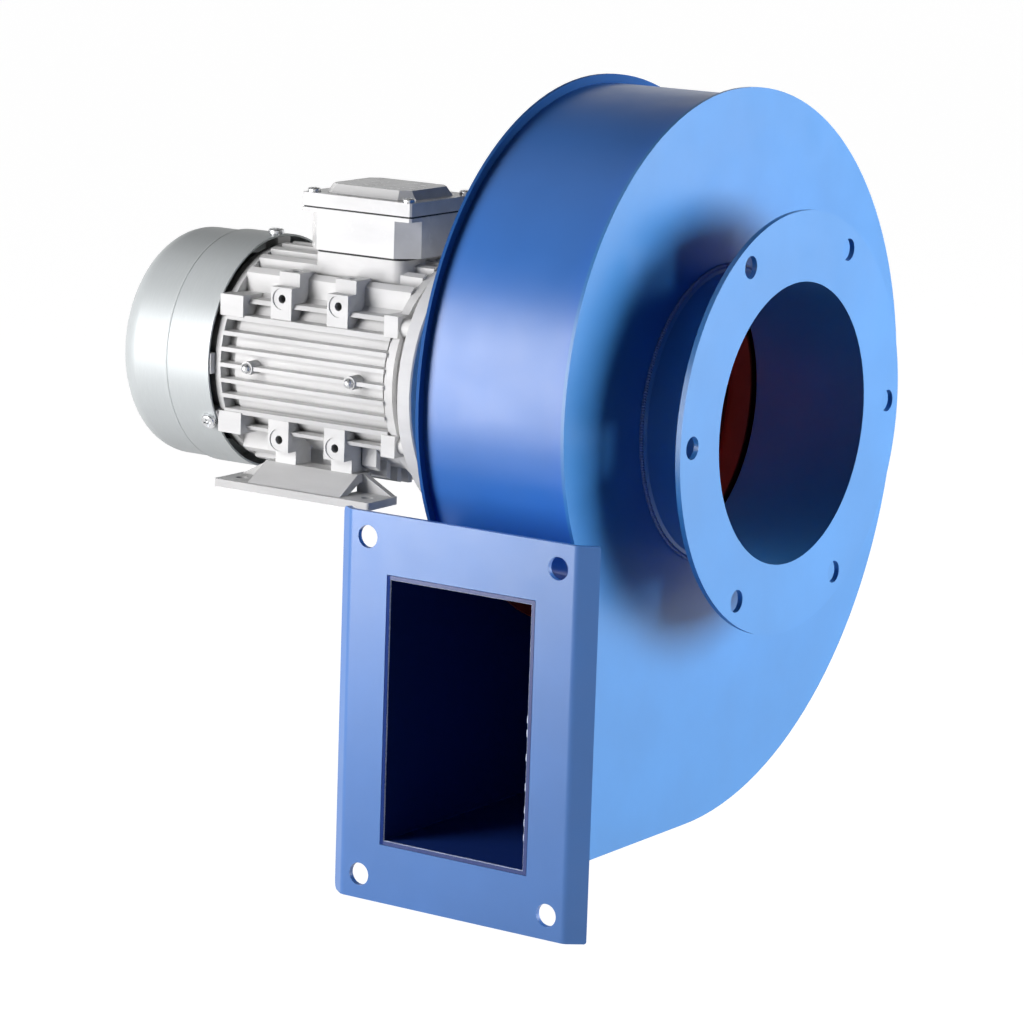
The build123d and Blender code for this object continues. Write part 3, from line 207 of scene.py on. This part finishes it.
def new_surface(name):
    """A material with an empty tree, a Principled shader and Object coordinates."""
    material = bpy.data.materials.new(name)
    material.use_nodes = True
    tree = material.node_tree
    tree.nodes.clear()
    output = tree.nodes.new("ShaderNodeOutputMaterial")
    shader = tree.nodes.new("ShaderNodeBsdfPrincipled")
    link(tree, shader.outputs["BSDF"], output.inputs["Surface"])
    place = tree.nodes.new("ShaderNodeTexCoord")
    return material, tree, shader, place.outputs["Object"]


def noise(tree, where, size, detail=3.0, stretch=(1.0, 1.0, 1.0)):
    """Noise whose features are about size apart; returns its factor."""
    mapping = tree.nodes.new("ShaderNodeMapping")
    mapping.inputs["Scale"].default_value = stretch
    link(tree, where, mapping.inputs["Vector"])
    texture = tree.nodes.new("ShaderNodeTexNoise")
    texture.inputs["Scale"].default_value = 1.0 / size
    texture.inputs["Detail"].default_value = detail
    link(tree, mapping.outputs["Vector"], texture.inputs["Vector"])
    return texture.outputs["Fac"]


def spread(tree, value, low, high, start=0.3, stop=0.7, ramp="LINEAR"):
    """Map start..stop, by default the middle of a noise, onto low..high."""
    remap = tree.nodes.new("ShaderNodeMapRange")
    remap.interpolation_type = ramp
    remap.inputs["From Min"].default_value = start
    remap.inputs["From Max"].default_value = stop
    remap.inputs["To Min"].default_value = low
    remap.inputs["To Max"].default_value = high
    link(tree, value, remap.inputs["Value"])
    return remap.outputs["Result"]


def shade(colour, factor):
    """The colour made lighter or darker."""
    return tuple(min(1.0, part * factor) for part in colour)


def mottle(tree, value, colour, darkest, lightest):
    """The colour, made darker and lighter by a noise."""
    mix = tree.nodes.new("ShaderNodeMix")
    mix.data_type = "RGBA"
    mix.inputs["A"].default_value = (*shade(colour, darkest), 1.0)
    mix.inputs["B"].default_value = (*shade(colour, lightest), 1.0)
    link(tree, spread(tree, value, 0.0, 1.0), mix.inputs["Factor"])
    return mix.outputs["Result"]


def dress(tree, shader, colours, roughness, height, depth):
    """Give the shader its colours, its roughness and a relief that is depth metres deep."""
    link(tree, colours, shader.inputs["Base Color"])
    link(tree, roughness, shader.inputs["Roughness"])
    bump = tree.nodes.new("ShaderNodeBump")
    bump.inputs["Strength"].default_value = 1.0
    bump.inputs["Distance"].default_value = depth
    link(tree, height, bump.inputs["Height"])
    link(tree, bump.outputs["Normal"], shader.inputs["Normal"])


def combine(tree, operation, first, second):
    """Math node on two sockets."""
    node = tree.nodes.new("ShaderNodeMath")
    node.operation = operation
    link(tree, first, node.inputs[0])
    link(tree, second, node.inputs[1])
    return node.outputs["Value"]


def combine_with(tree, operation, value, number):
    """Math node on a socket and a fixed number."""
    node = tree.nodes.new("ShaderNodeMath")
    node.operation = operation
    link(tree, value, node.inputs[0])
    node.inputs[1].default_value = number
    return node.outputs["Value"]


def above(tree, value, limit):
    """1 where the value is above the limit."""
    return combine_with(tree, "GREATER_THAN", value, limit)


def below(tree, value, limit):
    """1 where the value is below the limit."""
    return combine_with(tree, "LESS_THAN", value, limit)


def axes(tree, vector):
    """The vector's X, Y and Z."""
    split = tree.nodes.new("ShaderNodeSeparateXYZ")
    link(tree, vector, split.inputs["Vector"])
    return split.outputs


def face_normal(tree):
    """Which way the face looks, without smoothing."""
    return tree.nodes.new("ShaderNodeNewGeometry").outputs["True Normal"]


def vector_math(tree, operation, first, second):
    """Vector Math node on a socket and a fixed vector."""
    node = tree.nodes.new("ShaderNodeVectorMath")
    node.operation = operation
    link(tree, first, node.inputs[0])
    node.inputs[1].default_value = second
    return node.outputs["Vector"]


def towards(tree, where, centre):
    """1 on faces that look back towards a centre line along X."""
    across = (0.0, 1.0, 1.0)
    outwards = vector_math(tree, "MULTIPLY", vector_math(tree, "SUBTRACT", where, centre), across)
    facing = tree.nodes.new("ShaderNodeVectorMath")
    facing.operation = "DOT_PRODUCT"
    link(tree, outwards, facing.inputs[0])
    link(tree, face_normal(tree), facing.inputs[1])
    return below(tree, facing.outputs["Value"], 0.0)


def duct_span():
    """Heights of the outlet duct's floor and roof, at the inner faces of the sheet."""
    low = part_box("scroll_wrapper")[0]
    flange_low, flange_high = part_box("outlet_flange")
    roof = flange_low.z + flange_high.z - low.z
    return low.z + SHEET, roof - SHEET


def mouth_end(tree, where):
    """Mask for the sheets' cut ends round the outlet's mouth."""
    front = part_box("outlet_flange")[0].y
    near_front = below(tree, axes(tree, where)["Y"], front + MOUTH_DEPTH)
    looks_out = below(tree, axes(tree, face_normal(tree))["Y"], -FACING)
    return combine(tree, "MULTIPLY", near_front, looks_out)


def inside_plate(looks_inwards, limit):
    """Mask for the part of a side plate that lies inside the outlet duct, and for its end at the mouth.

    Its inner faces are those whose normal's X is above or below the limit."""
    def mask(tree, where):
        floor, roof = duct_span()
        margin = 0.2 * MM
        place = axes(tree, where)
        inner = looks_inwards(tree, axes(tree, face_normal(tree))["X"], limit)
        level = combine(tree, "MULTIPLY", above(tree, place["Z"], floor + margin),
                        below(tree, place["Z"], roof - margin))
        in_duct = combine(tree, "MULTIPLY", level, below(tree, place["Y"], 0.0))
        inside = combine(tree, "MULTIPLY", inner, in_duct)
        return combine(tree, "MAXIMUM", inside, mouth_end(tree, where))
    return mask


def inside_scroll(tree, where):
    """Mask for the inner face of the wrapper: round the shaft, and between the outlet's floor and roof."""
    floor, roof = duct_span()
    over_roof = 10.0 * MM
    place = axes(tree, where)
    in_duct = combine(tree, "MULTIPLY", below(tree, place["Y"], DUCT_START),
                      below(tree, place["Z"], roof + over_roof))
    choose = tree.nodes.new("ShaderNodeMix")
    link(tree, in_duct, choose.inputs["Factor"])
    link(tree, towards(tree, where, (0.0, 0.0, 0.0)), choose.inputs["A"])
    link(tree, towards(tree, where, (0.0, DUCT_CENTRE, (floor + roof) / 2)), choose.inputs["B"])
    return combine(tree, "MAXIMUM", choose.outputs["Result"], mouth_end(tree, where))


def paint(name, colour, roughness, peel, uneven=0.06, shine=0.6, inside=None):
    """Sprayed paint: a little uneven in colour, with orange peel, and with painted shade, a dark colour, on
    the inner faces that a mask picks out.
    """
    material, tree, shader, where = new_surface(name)
    cloud = noise(tree, where, 60 * MM, detail=4.0)
    colours = mottle(tree, cloud, colour, 1 - uneven, 1 + uneven)
    # Painted shade: the inside mask lays the dark inside colour on inner faces and cut ends.
    if inside:
        darker = tree.nodes.new("ShaderNodeMix")
        darker.data_type = "RGBA"
        darker.inputs["B"].default_value = (*bpy.context.scene.blower_paint.inner, 1.0)
        link(tree, inside(tree, where), darker.inputs["Factor"])
        link(tree, colours, darker.inputs["A"])
        colours = darker.outputs["Result"]
    smear = noise(tree, where, 18 * MM, detail=5.0)
    ripples = noise(tree, where, peel, detail=2.0)
    dress(tree, shader, colours, spread(tree, smear, roughness * 0.92, roughness * 1.1), ripples,
          depth=0.012 * MM)
    shader.inputs["Specular IOR Level"].default_value = shine
    return material


def cast(name, colour, grain, roughness=0.42, reach=6 * MM, deepest_shade=0.22):
    """Die-cast aluminium: grain, faint flow marks, dull patches, and painted shade that darkens nooks
    narrower than reach.
    """
    material, tree, shader, where = new_surface(name)
    flow = noise(tree, where, 14 * MM, detail=5.0, stretch=(0.25, 1.0, 1.0))
    unshaded = mottle(tree, flow, colour, 0.90, 1.06)
    # Painted shade: an occlusion test darkens the colour in nooks narrower than reach, where shade falls.
    nook = tree.nodes.new("ShaderNodeAmbientOcclusion")
    nook.samples = 8
    nook.inputs["Distance"].default_value = reach
    painted_shade = spread(tree, nook.outputs["AO"], deepest_shade, 1.0, start=0.1, stop=0.5)
    shaded_colour = tree.nodes.new("ShaderNodeVectorMath")
    shaded_colour.operation = "SCALE"
    link(tree, unshaded, shaded_colour.inputs[0])
    link(tree, painted_shade, shaded_colour.inputs["Scale"])
    dull = noise(tree, where, 6 * MM, detail=6.0)
    sand = noise(tree, where, grain, detail=4.0)
    dress(tree, shader, shaded_colour.outputs["Vector"], spread(tree, dull, roughness * 0.85, roughness * 1.2), sand,
          depth=0.06 * MM)
    shader.inputs["Specular IOR Level"].default_value = 0.2
    return material


def brushed(name, colour, roughness=0.28, stretch=(1.0, 1.0, 14.0)):
    """Plated or ground metal with fine lines and a slight stain."""
    material, tree, shader, where = new_surface(name)
    stain = noise(tree, where, 5 * MM, detail=4.0)
    lines = noise(tree, where, 1.2 * MM, stretch=stretch)
    dress(tree, shader, mottle(tree, stain, colour, 0.82, 1.08),
          spread(tree, lines, roughness * 0.7, roughness * 1.4), lines, depth=0.012 * MM)
    shader.inputs["Metallic"].default_value = 1.0
    return material


def drawn(name, colour, roughness=0.40):
    """Smooth pale finish on drawn sheet, with faint lines round the shell."""
    material, tree, shader, where = new_surface(name)
    lines = noise(tree, where, 2.5 * MM, stretch=(6.0, 0.4, 0.4))
    haze = noise(tree, where, 25 * MM)
    dress(tree, shader, mottle(tree, lines, colour, 0.97, 1.03),
          spread(tree, haze, roughness * 0.94, roughness * 1.06), lines, depth=0.004 * MM)
    shader.inputs["Metallic"].default_value = 0.2
    shader.inputs["Specular IOR Level"].default_value = 0.25
    return material


def moulded(name, colour, roughness=0.5, grain=0.5 * MM):
    """Moulded plastic, rubber, felt or varnish: fine texture and faint bloom."""
    material, tree, shader, where = new_surface(name)
    bloom = noise(tree, where, 12 * MM, detail=4.0)
    dress(tree, shader, mottle(tree, bloom, colour, 0.8, 1.35),
          spread(tree, bloom, roughness * 0.85, roughness * 1.15), noise(tree, where, grain),
          depth=0.03 * MM)
    return material


def coat_nodes(material, *names):
    """Give CAD nodes their material."""
    for name in names:
        slots = NODES[name].data.materials
        slots.clear()
        slots.append(material)


def seamless(name, node, material, body):
    """Show a rolled sheet as a copy whose shading runs smoothly over the joins of its arcs."""
    source = NODES[node]
    shell = bmesh.new()
    shell.from_mesh(source.data)
    bmesh.ops.transform(shell, matrix=source.matrix_world, verts=shell.verts)
    bmesh.ops.remove_doubles(shell, verts=shell.verts, dist=0.002 * MM)
    for face in shell.faces:
        face.smooth = True
    mesh = bpy.data.meshes.new(name)
    shell.to_mesh(mesh)
    shell.free()
    if "custom_normal" in mesh.attributes:
        mesh.attributes.remove(mesh.attributes["custom_normal"])
    sharpest_join = 25.0
    mesh.set_sharp_from_angle(angle=math.radians(sharpest_join))
    mesh.materials.clear()
    mesh.materials.append(material)
    piece = bpy.data.objects.new(name, mesh)
    bpy.context.scene.collection.objects.link(piece)
    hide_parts(node)
    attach(piece, body)


def start_tree(name, sizes):
    """Geometry tree with a path, the sizes and a material as named inputs; also returns their identifiers."""
    tree = bpy.data.node_groups.new(name, "GeometryNodeTree")
    keys = {}
    for label, kind in (("Path", "Geometry"), *sizes, ("Material", "Material")):
        made = tree.interface.new_socket(name=label, in_out="INPUT", socket_type="NodeSocket" + kind)
        keys[label] = made.identifier
    tree.interface.new_socket(name="Bead", in_out="OUTPUT", socket_type="NodeSocketGeometry")
    return tree, keys


def close_tree(tree, given, shape):
    """End a geometry tree: real and smooth faces with the given material."""
    realize = tree.nodes.new("GeometryNodeRealizeInstances")
    smooth = tree.nodes.new("GeometryNodeSetShadeSmooth")
    cover = tree.nodes.new("GeometryNodeSetMaterial")
    result = tree.nodes.new("NodeGroupOutput")
    link(tree, shape, realize.inputs["Geometry"])
    link(tree, realize.outputs["Geometry"], smooth.inputs["Geometry"])
    link(tree, smooth.outputs["Geometry"], cover.inputs["Geometry"])
    link(tree, given.outputs["Material"], cover.inputs["Material"])
    link(tree, cover.outputs["Geometry"], result.inputs["Bead"])


def weld_tree():
    """Geometry tree that lays overlapping ripples along the edges of a mesh."""
    sizes = (("Ripple pitch", "Float"), ("Bead radius", "Float"), ("Seed", "Int"))
    tree, keys = start_tree("weld_bead", sizes)
    given = tree.nodes.new("NodeGroupInput")
    to_curve = tree.nodes.new("GeometryNodeMeshToCurve")
    resample = tree.nodes.new("GeometryNodeResampleCurve")
    resample.mode = "LENGTH"
    tangent = tree.nodes.new("GeometryNodeInputTangent")
    align = tree.nodes.new("FunctionNodeAlignRotationToVector")
    align.axis = "Z"
    ripple = tree.nodes.new("GeometryNodeMeshIcoSphere")
    ripple.inputs["Subdivisions"].default_value = 2
    uneven = tree.nodes.new("FunctionNodeRandomValue")
    uneven.data_type = "FLOAT_VECTOR"
    uneven.inputs["Min"].default_value = (0.85, 0.85, 0.62)
    uneven.inputs["Max"].default_value = (1.12, 1.12, 0.78)
    place = tree.nodes.new("GeometryNodeInstanceOnPoints")
    link(tree, given.outputs["Path"], to_curve.inputs["Mesh"])
    link(tree, to_curve.outputs["Curve"], resample.inputs["Curve"])
    link(tree, given.outputs["Ripple pitch"], resample.inputs["Length"])
    link(tree, tangent.outputs["Tangent"], align.inputs["Vector"])
    link(tree, given.outputs["Bead radius"], ripple.inputs["Radius"])
    link(tree, given.outputs["Seed"], uneven.inputs["Seed"])
    link(tree, resample.outputs["Curve"], place.inputs["Points"])
    link(tree, ripple.outputs["Mesh"], place.inputs["Instance"])
    link(tree, align.outputs["Rotation"], place.inputs["Rotation"])
    link(tree, uneven.outputs["Value"], place.inputs["Scale"])
    close_tree(tree, given, place.outputs["Instances"])
    return tree, keys


def ring_tree():
    """Geometry tree that sweeps a round wire along the edges of a mesh."""
    tree, keys = start_tree("raised_bead", (("Bead radius", "Float"),))
    given = tree.nodes.new("NodeGroupInput")
    to_curve = tree.nodes.new("GeometryNodeMeshToCurve")
    section = tree.nodes.new("GeometryNodeCurvePrimitiveCircle")
    section.inputs["Resolution"].default_value = 12
    sweep = tree.nodes.new("GeometryNodeCurveToMesh")
    link(tree, given.outputs["Path"], to_curve.inputs["Mesh"])
    link(tree, to_curve.outputs["Curve"], sweep.inputs["Curve"])
    link(tree, given.outputs["Bead radius"], section.inputs["Radius"])
    link(tree, section.outputs["Curve"], sweep.inputs["Profile Curve"])
    close_tree(tree, given, sweep.outputs["Mesh"])
    return tree, keys


def circle_at(x, radius, steps=240):
    """Points of a circle round the shaft axis."""
    turns = [2 * math.pi * step / steps for step in range(steps)]
    return [(x, radius * math.cos(turn), radius * math.sin(turn)) for turn in turns]


def closed(points):
    """Edges that join points in order and the last to the first."""
    last = len(points) - 1
    return [(step, step + 1) for step in range(last)] + [(last, 0)]


def grow(name, points, edges, tree, values, body):
    """Run a geometry tree on a wire and keep its result as a plain mesh that rides on a body."""
    wire = bpy.data.meshes.new(name + "_wire")
    wire.from_pydata(points, edges, [])
    carrier = bpy.data.objects.new(name + "_wire", wire)
    bpy.context.scene.collection.objects.link(carrier)
    modifier = carrier.modifiers.new("grow", "NODES")
    modifier.node_group = tree
    for key, value in values.items():
        modifier[key] = value
    graph = bpy.context.evaluated_depsgraph_get()
    mesh = bpy.data.meshes.new_from_object(carrier.evaluated_get(graph), preserve_all_data_layers=True,
                                           depsgraph=graph)
    mesh.name = name
    bpy.data.objects.remove(carrier)
    if not mesh.polygons:
        raise RuntimeError(name + " has no faces")
    piece = bpy.data.objects.new(name, mesh)
    bpy.context.scene.collection.objects.link(piece)
    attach(piece, body)


def raise_cowl_bead(radius, material):
    """The raised line round the fan cowl, where it steps down to its narrow end."""
    tree, keys = ring_tree()
    values = {keys["Bead radius"]: radius, keys["Material"]: material}
    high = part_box("fan_cowl")[1]
    sunk = 1.0 * MM
    ring = circle_at(high.x - COWL_STEP, high.z - sunk)
    grow("cowl_bead", ring, closed(ring), tree, values, "stator")


def inlet_ring():
    """Path of the bead in the corner between the inlet duct and the front plate."""
    low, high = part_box("inlet_duct")
    rise, sunk = 0.7 * MM, 0.8 * MM
    return circle_at(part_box("front_plate")[1].x + rise, (high.y - low.y) / 2 - sunk)


def mouth_corners(front):
    """Corners of the outlet's mouth, from the back plate round to it again."""
    floor, roof = duct_span()
    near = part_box("front_plate")[0].x
    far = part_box("back_plate")[1].x
    return [(far, front, floor), (near, front, floor), (near, front, roof), (far, front, roof)]


def tack_ends(front, count):
    """Ends of the short tacks down the near side of the mouth, unevenly spaced."""
    floor, roof = duct_span()
    length, inset, setback = 3.0 * MM, 0.3 * MM, 0.7 * MM
    first, reach, wander = 0.42, 0.55, 0.35
    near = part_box("front_plate")[0].x - inset
    behind = front + setback
    ends = []
    for tack in range(count):
        share = first + reach * (tack + wander * math.sin(5.0 * tack)) / count
        start = roof + (floor - roof) * share
        ends += [(near, behind, start), (near, behind, start - length)]
    return ends


class BLOWER_OT_casing(bpy.types.Operator):
    """Paint the welded casing, the outlet flange and the stool blue"""

    bl_idname = "blower.casing"
    bl_label = "Paint the casing"

    def execute(self, context):
        settings = context.scene.blower_paint
        gloss, peel = settings.gloss, settings.peel
        coat_nodes(paint("casing_blue", settings.casing, gloss, peel), "inlet_duct", "inlet_flange",
                   "motor_stool", "seal_housing")
        front = paint("front_plate_blue", settings.casing, gloss, peel, inside=inside_plate(below, -FACING))
        coat_nodes(front, "front_plate")
        # The back plate gets a darker copy of the wrapper's blue: painted shade.
        back = paint("shaded_back_plate_blue", shade(settings.wrapper, 0.62), roughness=0.6, peel=peel, shine=0.1,
                     inside=inside_plate(above, FACING))
        coat_nodes(back, "back_plate")
        rolled = paint("shaded_wrapper_blue", settings.wrapper, gloss, peel, inside=inside_scroll)
        seamless("rolled_wrapper", "scroll_wrapper", rolled, "stator")
        coat_nodes(paint("outlet_blue", settings.outlet, gloss, peel, shine=0.8), "outlet_flange")
        return {"FINISHED"}


class BLOWER_OT_impeller(bpy.types.Operator):
    """Prime the impeller's disc, shroud, blades and hub"""

    bl_idname = "blower.impeller"
    bl_label = "Finish the impeller"

    def execute(self, context):
        colour = context.scene.blower_paint.impeller
        primer = paint("impeller_primer", colour, roughness=0.5, peel=2.2 * MM, uneven=0.2, shine=0.3)
        coat_nodes(primer, "impeller_disc", "impeller_shroud", "impeller_blades", "impeller_hub")
        return {"FINISHED"}


class BLOWER_OT_motor(bpy.types.Operator):
    """Finish the castings, the fan cowl and the parts inside the motor"""

    bl_idname = "blower.motor"
    bl_label = "Finish the motor"

    def execute(self, context):
        metal = context.scene.blower_metal
        coat_nodes(cast("cast_aluminium", metal.casting, metal.sand), "motor_frame", "front_endshield")
        # The rear endshield gets deep painted shade over a wide reach, for the shade it lies in behind the
        # cowl.
        coat_nodes(cast("deeply_shaded_casting", metal.casting, metal.sand, reach=20 * MM, deepest_shade=0.05),
                   "rear_endshield")
        # The feet get a darker copy of the casting colour: painted shade.
        coat_nodes(cast("shaded_foot_casting", shade(metal.casting, 0.8), metal.sand), "motor_foot_left",
                   "motor_foot_right")
        coat_nodes(cast("smooth_casting", shade(metal.casting, 1.06), grain=0.4 * MM, roughness=0.24),
                   "terminal_box", "box_lid")
        cowl = drawn("cowl_sheet", metal.cowl)
        coat_nodes(cowl, "fan_cowl")
        raise_cowl_bead(metal.bead, cowl)
        coat_nodes(brushed("ground_steel", metal.steel), "motor_shaft", "shaft_key", "bearing_outer_rings",
                   "bearing_inner_rings", "bearing_balls", "fan_circlip")
        coat_nodes(brushed("core_laminations", shade(metal.steel, 0.6), 0.5, stretch=(20.0, 1.0, 1.0)),
                   "rotor_core", "stator_core")
        coat_nodes(moulded("black_moulding", (0.030, 0.030, 0.032)), "cooling_fan", "terminal_block",
                   "cable_gland")
        coat_nodes(moulded("gasket_rubber", (0.020, 0.020, 0.020), 0.7), "box_gasket", "lid_gasket")
        coat_nodes(moulded("wool_felt", (0.30, 0.27, 0.22), 0.95, grain=1.5 * MM), "felt_seal")
        coat_nodes(moulded("varnished_copper", (0.42, 0.15, 0.05), 0.3, grain=1.0 * MM), "windings")
        return {"FINISHED"}


class BLOWER_OT_fasteners(bpy.types.Operator):
    """Plate the screws, bolts, studs and nuts"""

    bl_idname = "blower.fasteners"
    bl_label = "Plate the fasteners"

    def execute(self, context):
        zinc = brushed("bright_zinc", context.scene.blower_metal.zinc, 0.26, stretch=(1.0, 1.0, 1.0))
        coat_nodes(zinc, "hub_rivets", "hub_bolt", "hub_washer", "motor_bolts", "stool_studs", "stool_nuts",
                   "foot_bolts", "front_shield_screws", "rear_shield_screws", "cowl_screws", "drive_screws",
                   "lid_screws", "box_screws", "seal_screws")
        coat_nodes(brushed("turned_brass", (0.62, 0.43, 0.16), 0.25), "terminal_studs")
        return {"FINISHED"}


class BLOWER_OT_welds(bpy.types.Operator):
    """Lay the weld bead round the inlet duct, the seam round the outlet's mouth and its tacks"""

    bl_idname = "blower.welds"
    bl_label = "Lay the weld beads"

    def execute(self, context):
        welds = context.scene.blower_welds
        tree, keys = weld_tree()
        values = {
            keys["Ripple pitch"]: welds.pitch,
            keys["Bead radius"]: welds.radius,
            keys["Seed"]: welds.seed,
            keys["Material"]: paint("worn_and_highlighted_weld", welds.colour, roughness=0.3, peel=1.0 * MM),
        }
        ring = inlet_ring()
        grow("inlet_weld", ring, closed(ring), tree, values, "stator")
        values[keys["Ripple pitch"]] = 1.3 * welds.seam
        values[keys["Bead radius"]] = welds.seam
        # The fine seam takes the pale mouth-edge colour: rubbed paint and a painted highlight.
        values[keys["Material"]] = paint("worn_and_highlighted_edge", welds.seam_wear_and_highlight, roughness=0.3, peel=1.0 * MM)
        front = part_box("outlet_flange")[0].y + 1.2 * welds.seam
        corners = mouth_corners(front)
        grow("mouth_seam", corners, closed(corners), tree, values, "stator")
        values[keys["Bead radius"]] = 2.0 * welds.seam
        pairs = [(2 * tack, 2 * tack + 1) for tack in range(welds.tacks)]
        grow("mouth_tacks", tack_ends(front, welds.tacks), pairs, tree, values, "stator")
        return {"FINISHED"}


def seen_rays(tree):
    """1 for the rays that show the background: from the camera, in reflections and through glass."""
    rays = tree.nodes.new("ShaderNodeLightPath")
    either = combine(tree, "MAXIMUM", rays.outputs["Is Camera Ray"], rays.outputs["Is Glossy Ray"])
    return combine(tree, "MAXIMUM", either, rays.outputs["Is Transmission Ray"])


def way_to(azimuth, elevation):
    """Direction from the blower to something seen at these angles, in radians."""
    return Vector((math.sin(azimuth) * math.cos(elevation), -math.cos(azimuth) * math.cos(elevation),
                   math.sin(elevation)))


def lamp(name, power, size, centre, azimuth, elevation, distance, colour=(1.0, 1.0, 1.0)):
    """Soft rectangular lamp, size wide and high, aimed at the centre."""
    light = bpy.data.lights.new(name, "AREA")
    light.energy = power
    light.shape = "RECTANGLE"
    light.size, light.size_y = size
    light.color = colour
    holder = bpy.data.objects.new(name, light)
    bpy.context.scene.collection.objects.link(holder)
    way = way_to(math.radians(azimuth), math.radians(elevation))
    holder.location = centre + way * distance
    holder.rotation_euler = way.to_track_quat("Z", "Y").to_euler()


def floor_surface(settings):
    """Floor that takes the lamps' light and shadow and adds an even white to the rays that show it."""
    material, tree, shader, where = new_surface("studio_floor")
    faint = noise(tree, where, 0.4)
    link(tree, mottle(tree, faint, settings.floor, 0.985, 1.0), shader.inputs["Base Color"])
    shader.inputs["Roughness"].default_value = 0.9
    glow = tree.nodes.new("ShaderNodeEmission")
    link(tree, combine_with(tree, "MULTIPLY", seen_rays(tree), settings.glow), glow.inputs["Strength"])
    both = tree.nodes.new("ShaderNodeAddShader")
    link(tree, shader.outputs["BSDF"], both.inputs[0])
    link(tree, glow.outputs["Emission"], both.inputs[1])
    output = next(node for node in tree.nodes if node.type == "OUTPUT_MATERIAL")
    link(tree, both.outputs["Shader"], output.inputs["Surface"])
    return material


def lay_floor(material, level):
    """Wide flat floor at a height."""
    corners = [(-FLOOR_REACH, -FLOOR_REACH, level), (FLOOR_REACH, -FLOOR_REACH, level),
               (FLOOR_REACH, FLOOR_REACH, level), (-FLOOR_REACH, FLOOR_REACH, level)]
    sheet = bpy.data.meshes.new("floor")
    sheet.from_pydata(corners, [], [(0, 1, 2, 3)])
    sheet.materials.append(material)
    floor = bpy.data.objects.new("floor", sheet)
    bpy.context.scene.collection.objects.link(floor)


def studio_world(settings):
    """Weak even light, seen by camera and reflections as a room with white walls and a dim ceiling."""
    world = bpy.data.worlds.new("studio")
    world.use_nodes = True
    tree = world.node_tree
    tree.nodes.clear()
    output = tree.nodes.new("ShaderNodeOutputWorld")
    back = tree.nodes.new("ShaderNodeBackground")
    back.inputs["Color"].default_value = (1.0, 1.0, 1.0, 1.0)
    place = tree.nodes.new("ShaderNodeTexCoord")
    height = axes(tree, place.outputs["Generated"])["Z"]
    walls_end, ceiling_start = 0.12, 0.75
    room = spread(tree, height, 1.0, settings.ceiling, walls_end, ceiling_start, "SMOOTHSTEP")
    level = tree.nodes.new("ShaderNodeMix")
    level.inputs["A"].default_value = settings.world
    link(tree, seen_rays(tree), level.inputs["Factor"])
    link(tree, room, level.inputs["B"])
    link(tree, level.outputs["Result"], back.inputs["Strength"])
    link(tree, back.outputs["Background"], output.inputs["Surface"])
    return world


def aimed_camera():
    """Camera with a long lens, rolled a little about its line of sight."""
    camera = bpy.data.cameras.new("camera")
    camera.sensor_width = 36.0
    camera.lens = CAMERA_LENS
    camera.clip_end = 50.0
    holder = bpy.data.objects.new("camera", camera)
    bpy.context.scene.collection.objects.link(holder)
    azimuth, roll = math.radians(CAMERA_AZIMUTH), math.radians(CAMERA_ROLL)
    back_way = way_to(azimuth, math.radians(CAMERA_TILT))
    side_way = Vector((math.cos(azimuth), math.sin(azimuth), 0.0))
    up_way = back_way.cross(side_way)
    side = math.cos(roll) * side_way + math.sin(roll) * up_way
    up = -math.sin(roll) * side_way + math.cos(roll) * up_way
    turn = Matrix((side, up, back_way)).transposed()
    holder.matrix_world = Matrix.Translation(CAMERA_PLACE) @ turn.to_4x4()
    return holder


class BLOWER_OT_stage(bpy.types.Operator):
    """Set the floor, lamps, world and camera"""

    bl_idname = "blower.stage"
    bl_label = "Set the stage"

    def execute(self, context):
        scene = context.scene
        settings = scene.blower_stage
        low, high = CAD_BOX
        centre = (low + high) / 2
        lay_floor(floor_surface(settings), low.z - FLOOR_GAP)
        lamp("inlet_lamp", settings.key, (1.4, 1.4), centre, azimuth=111.0, elevation=2.0, distance=1.9)
        lamp("outlet_lamp", settings.front, (0.5, 0.8), centre, azimuth=-29.0, elevation=5.0, distance=1.0,
             colour=(1.0, 0.99, 1.0))
        lamp("top_lamp", settings.top, (1.2, 1.2), centre, azimuth=-60.0, elevation=66.0, distance=1.7)
        scene.world = studio_world(settings)
        scene.camera = aimed_camera()
        scene.view_settings.view_transform = "Standard"
        return {"FINISHED"}


class BLOWER_PT_panel(bpy.types.Panel):
    """Lists the blower's operators and settings"""

    bl_label = "Blower"
    bl_idname = "BLOWER_PT_panel"
    bl_space_type = "VIEW_3D"
    bl_region_type = "UI"
    bl_category = "Blower"

    def draw(self, context):
        for name, group in GROUPS.items():
            column = self.layout.column(align=True)
            for item in group.__annotations__:
                column.prop(getattr(context.scene, name), item)
        for operator in OPERATORS:
            self.layout.operator(operator.bl_idname)


OPERATORS = (BLOWER_OT_casing, BLOWER_OT_impeller, BLOWER_OT_motor, BLOWER_OT_fasteners, BLOWER_OT_welds,
             BLOWER_OT_stage)


def register():
    for group in GROUPS.values():
        bpy.utils.register_class(group)
    for name, group in GROUPS.items():
        setattr(bpy.types.Scene, name, bpy.props.PointerProperty(type=group))
    for item in OPERATORS + (BLOWER_PT_panel,):
        bpy.utils.register_class(item)


def unregister():
    for item in reversed(OPERATORS + (BLOWER_PT_panel,)):
        bpy.utils.unregister_class(item)
    for name in GROUPS:
        delattr(bpy.types.Scene, name)
    for group in GROUPS.values():
        bpy.utils.unregister_class(group)


def main():
    register()
    bpy.ops.blower.casing()
    bpy.ops.blower.impeller()
    bpy.ops.blower.motor()
    bpy.ops.blower.fasteners()
    bpy.ops.blower.welds()
    bpy.ops.blower.stage()


if __name__ == "__main__":
    main()
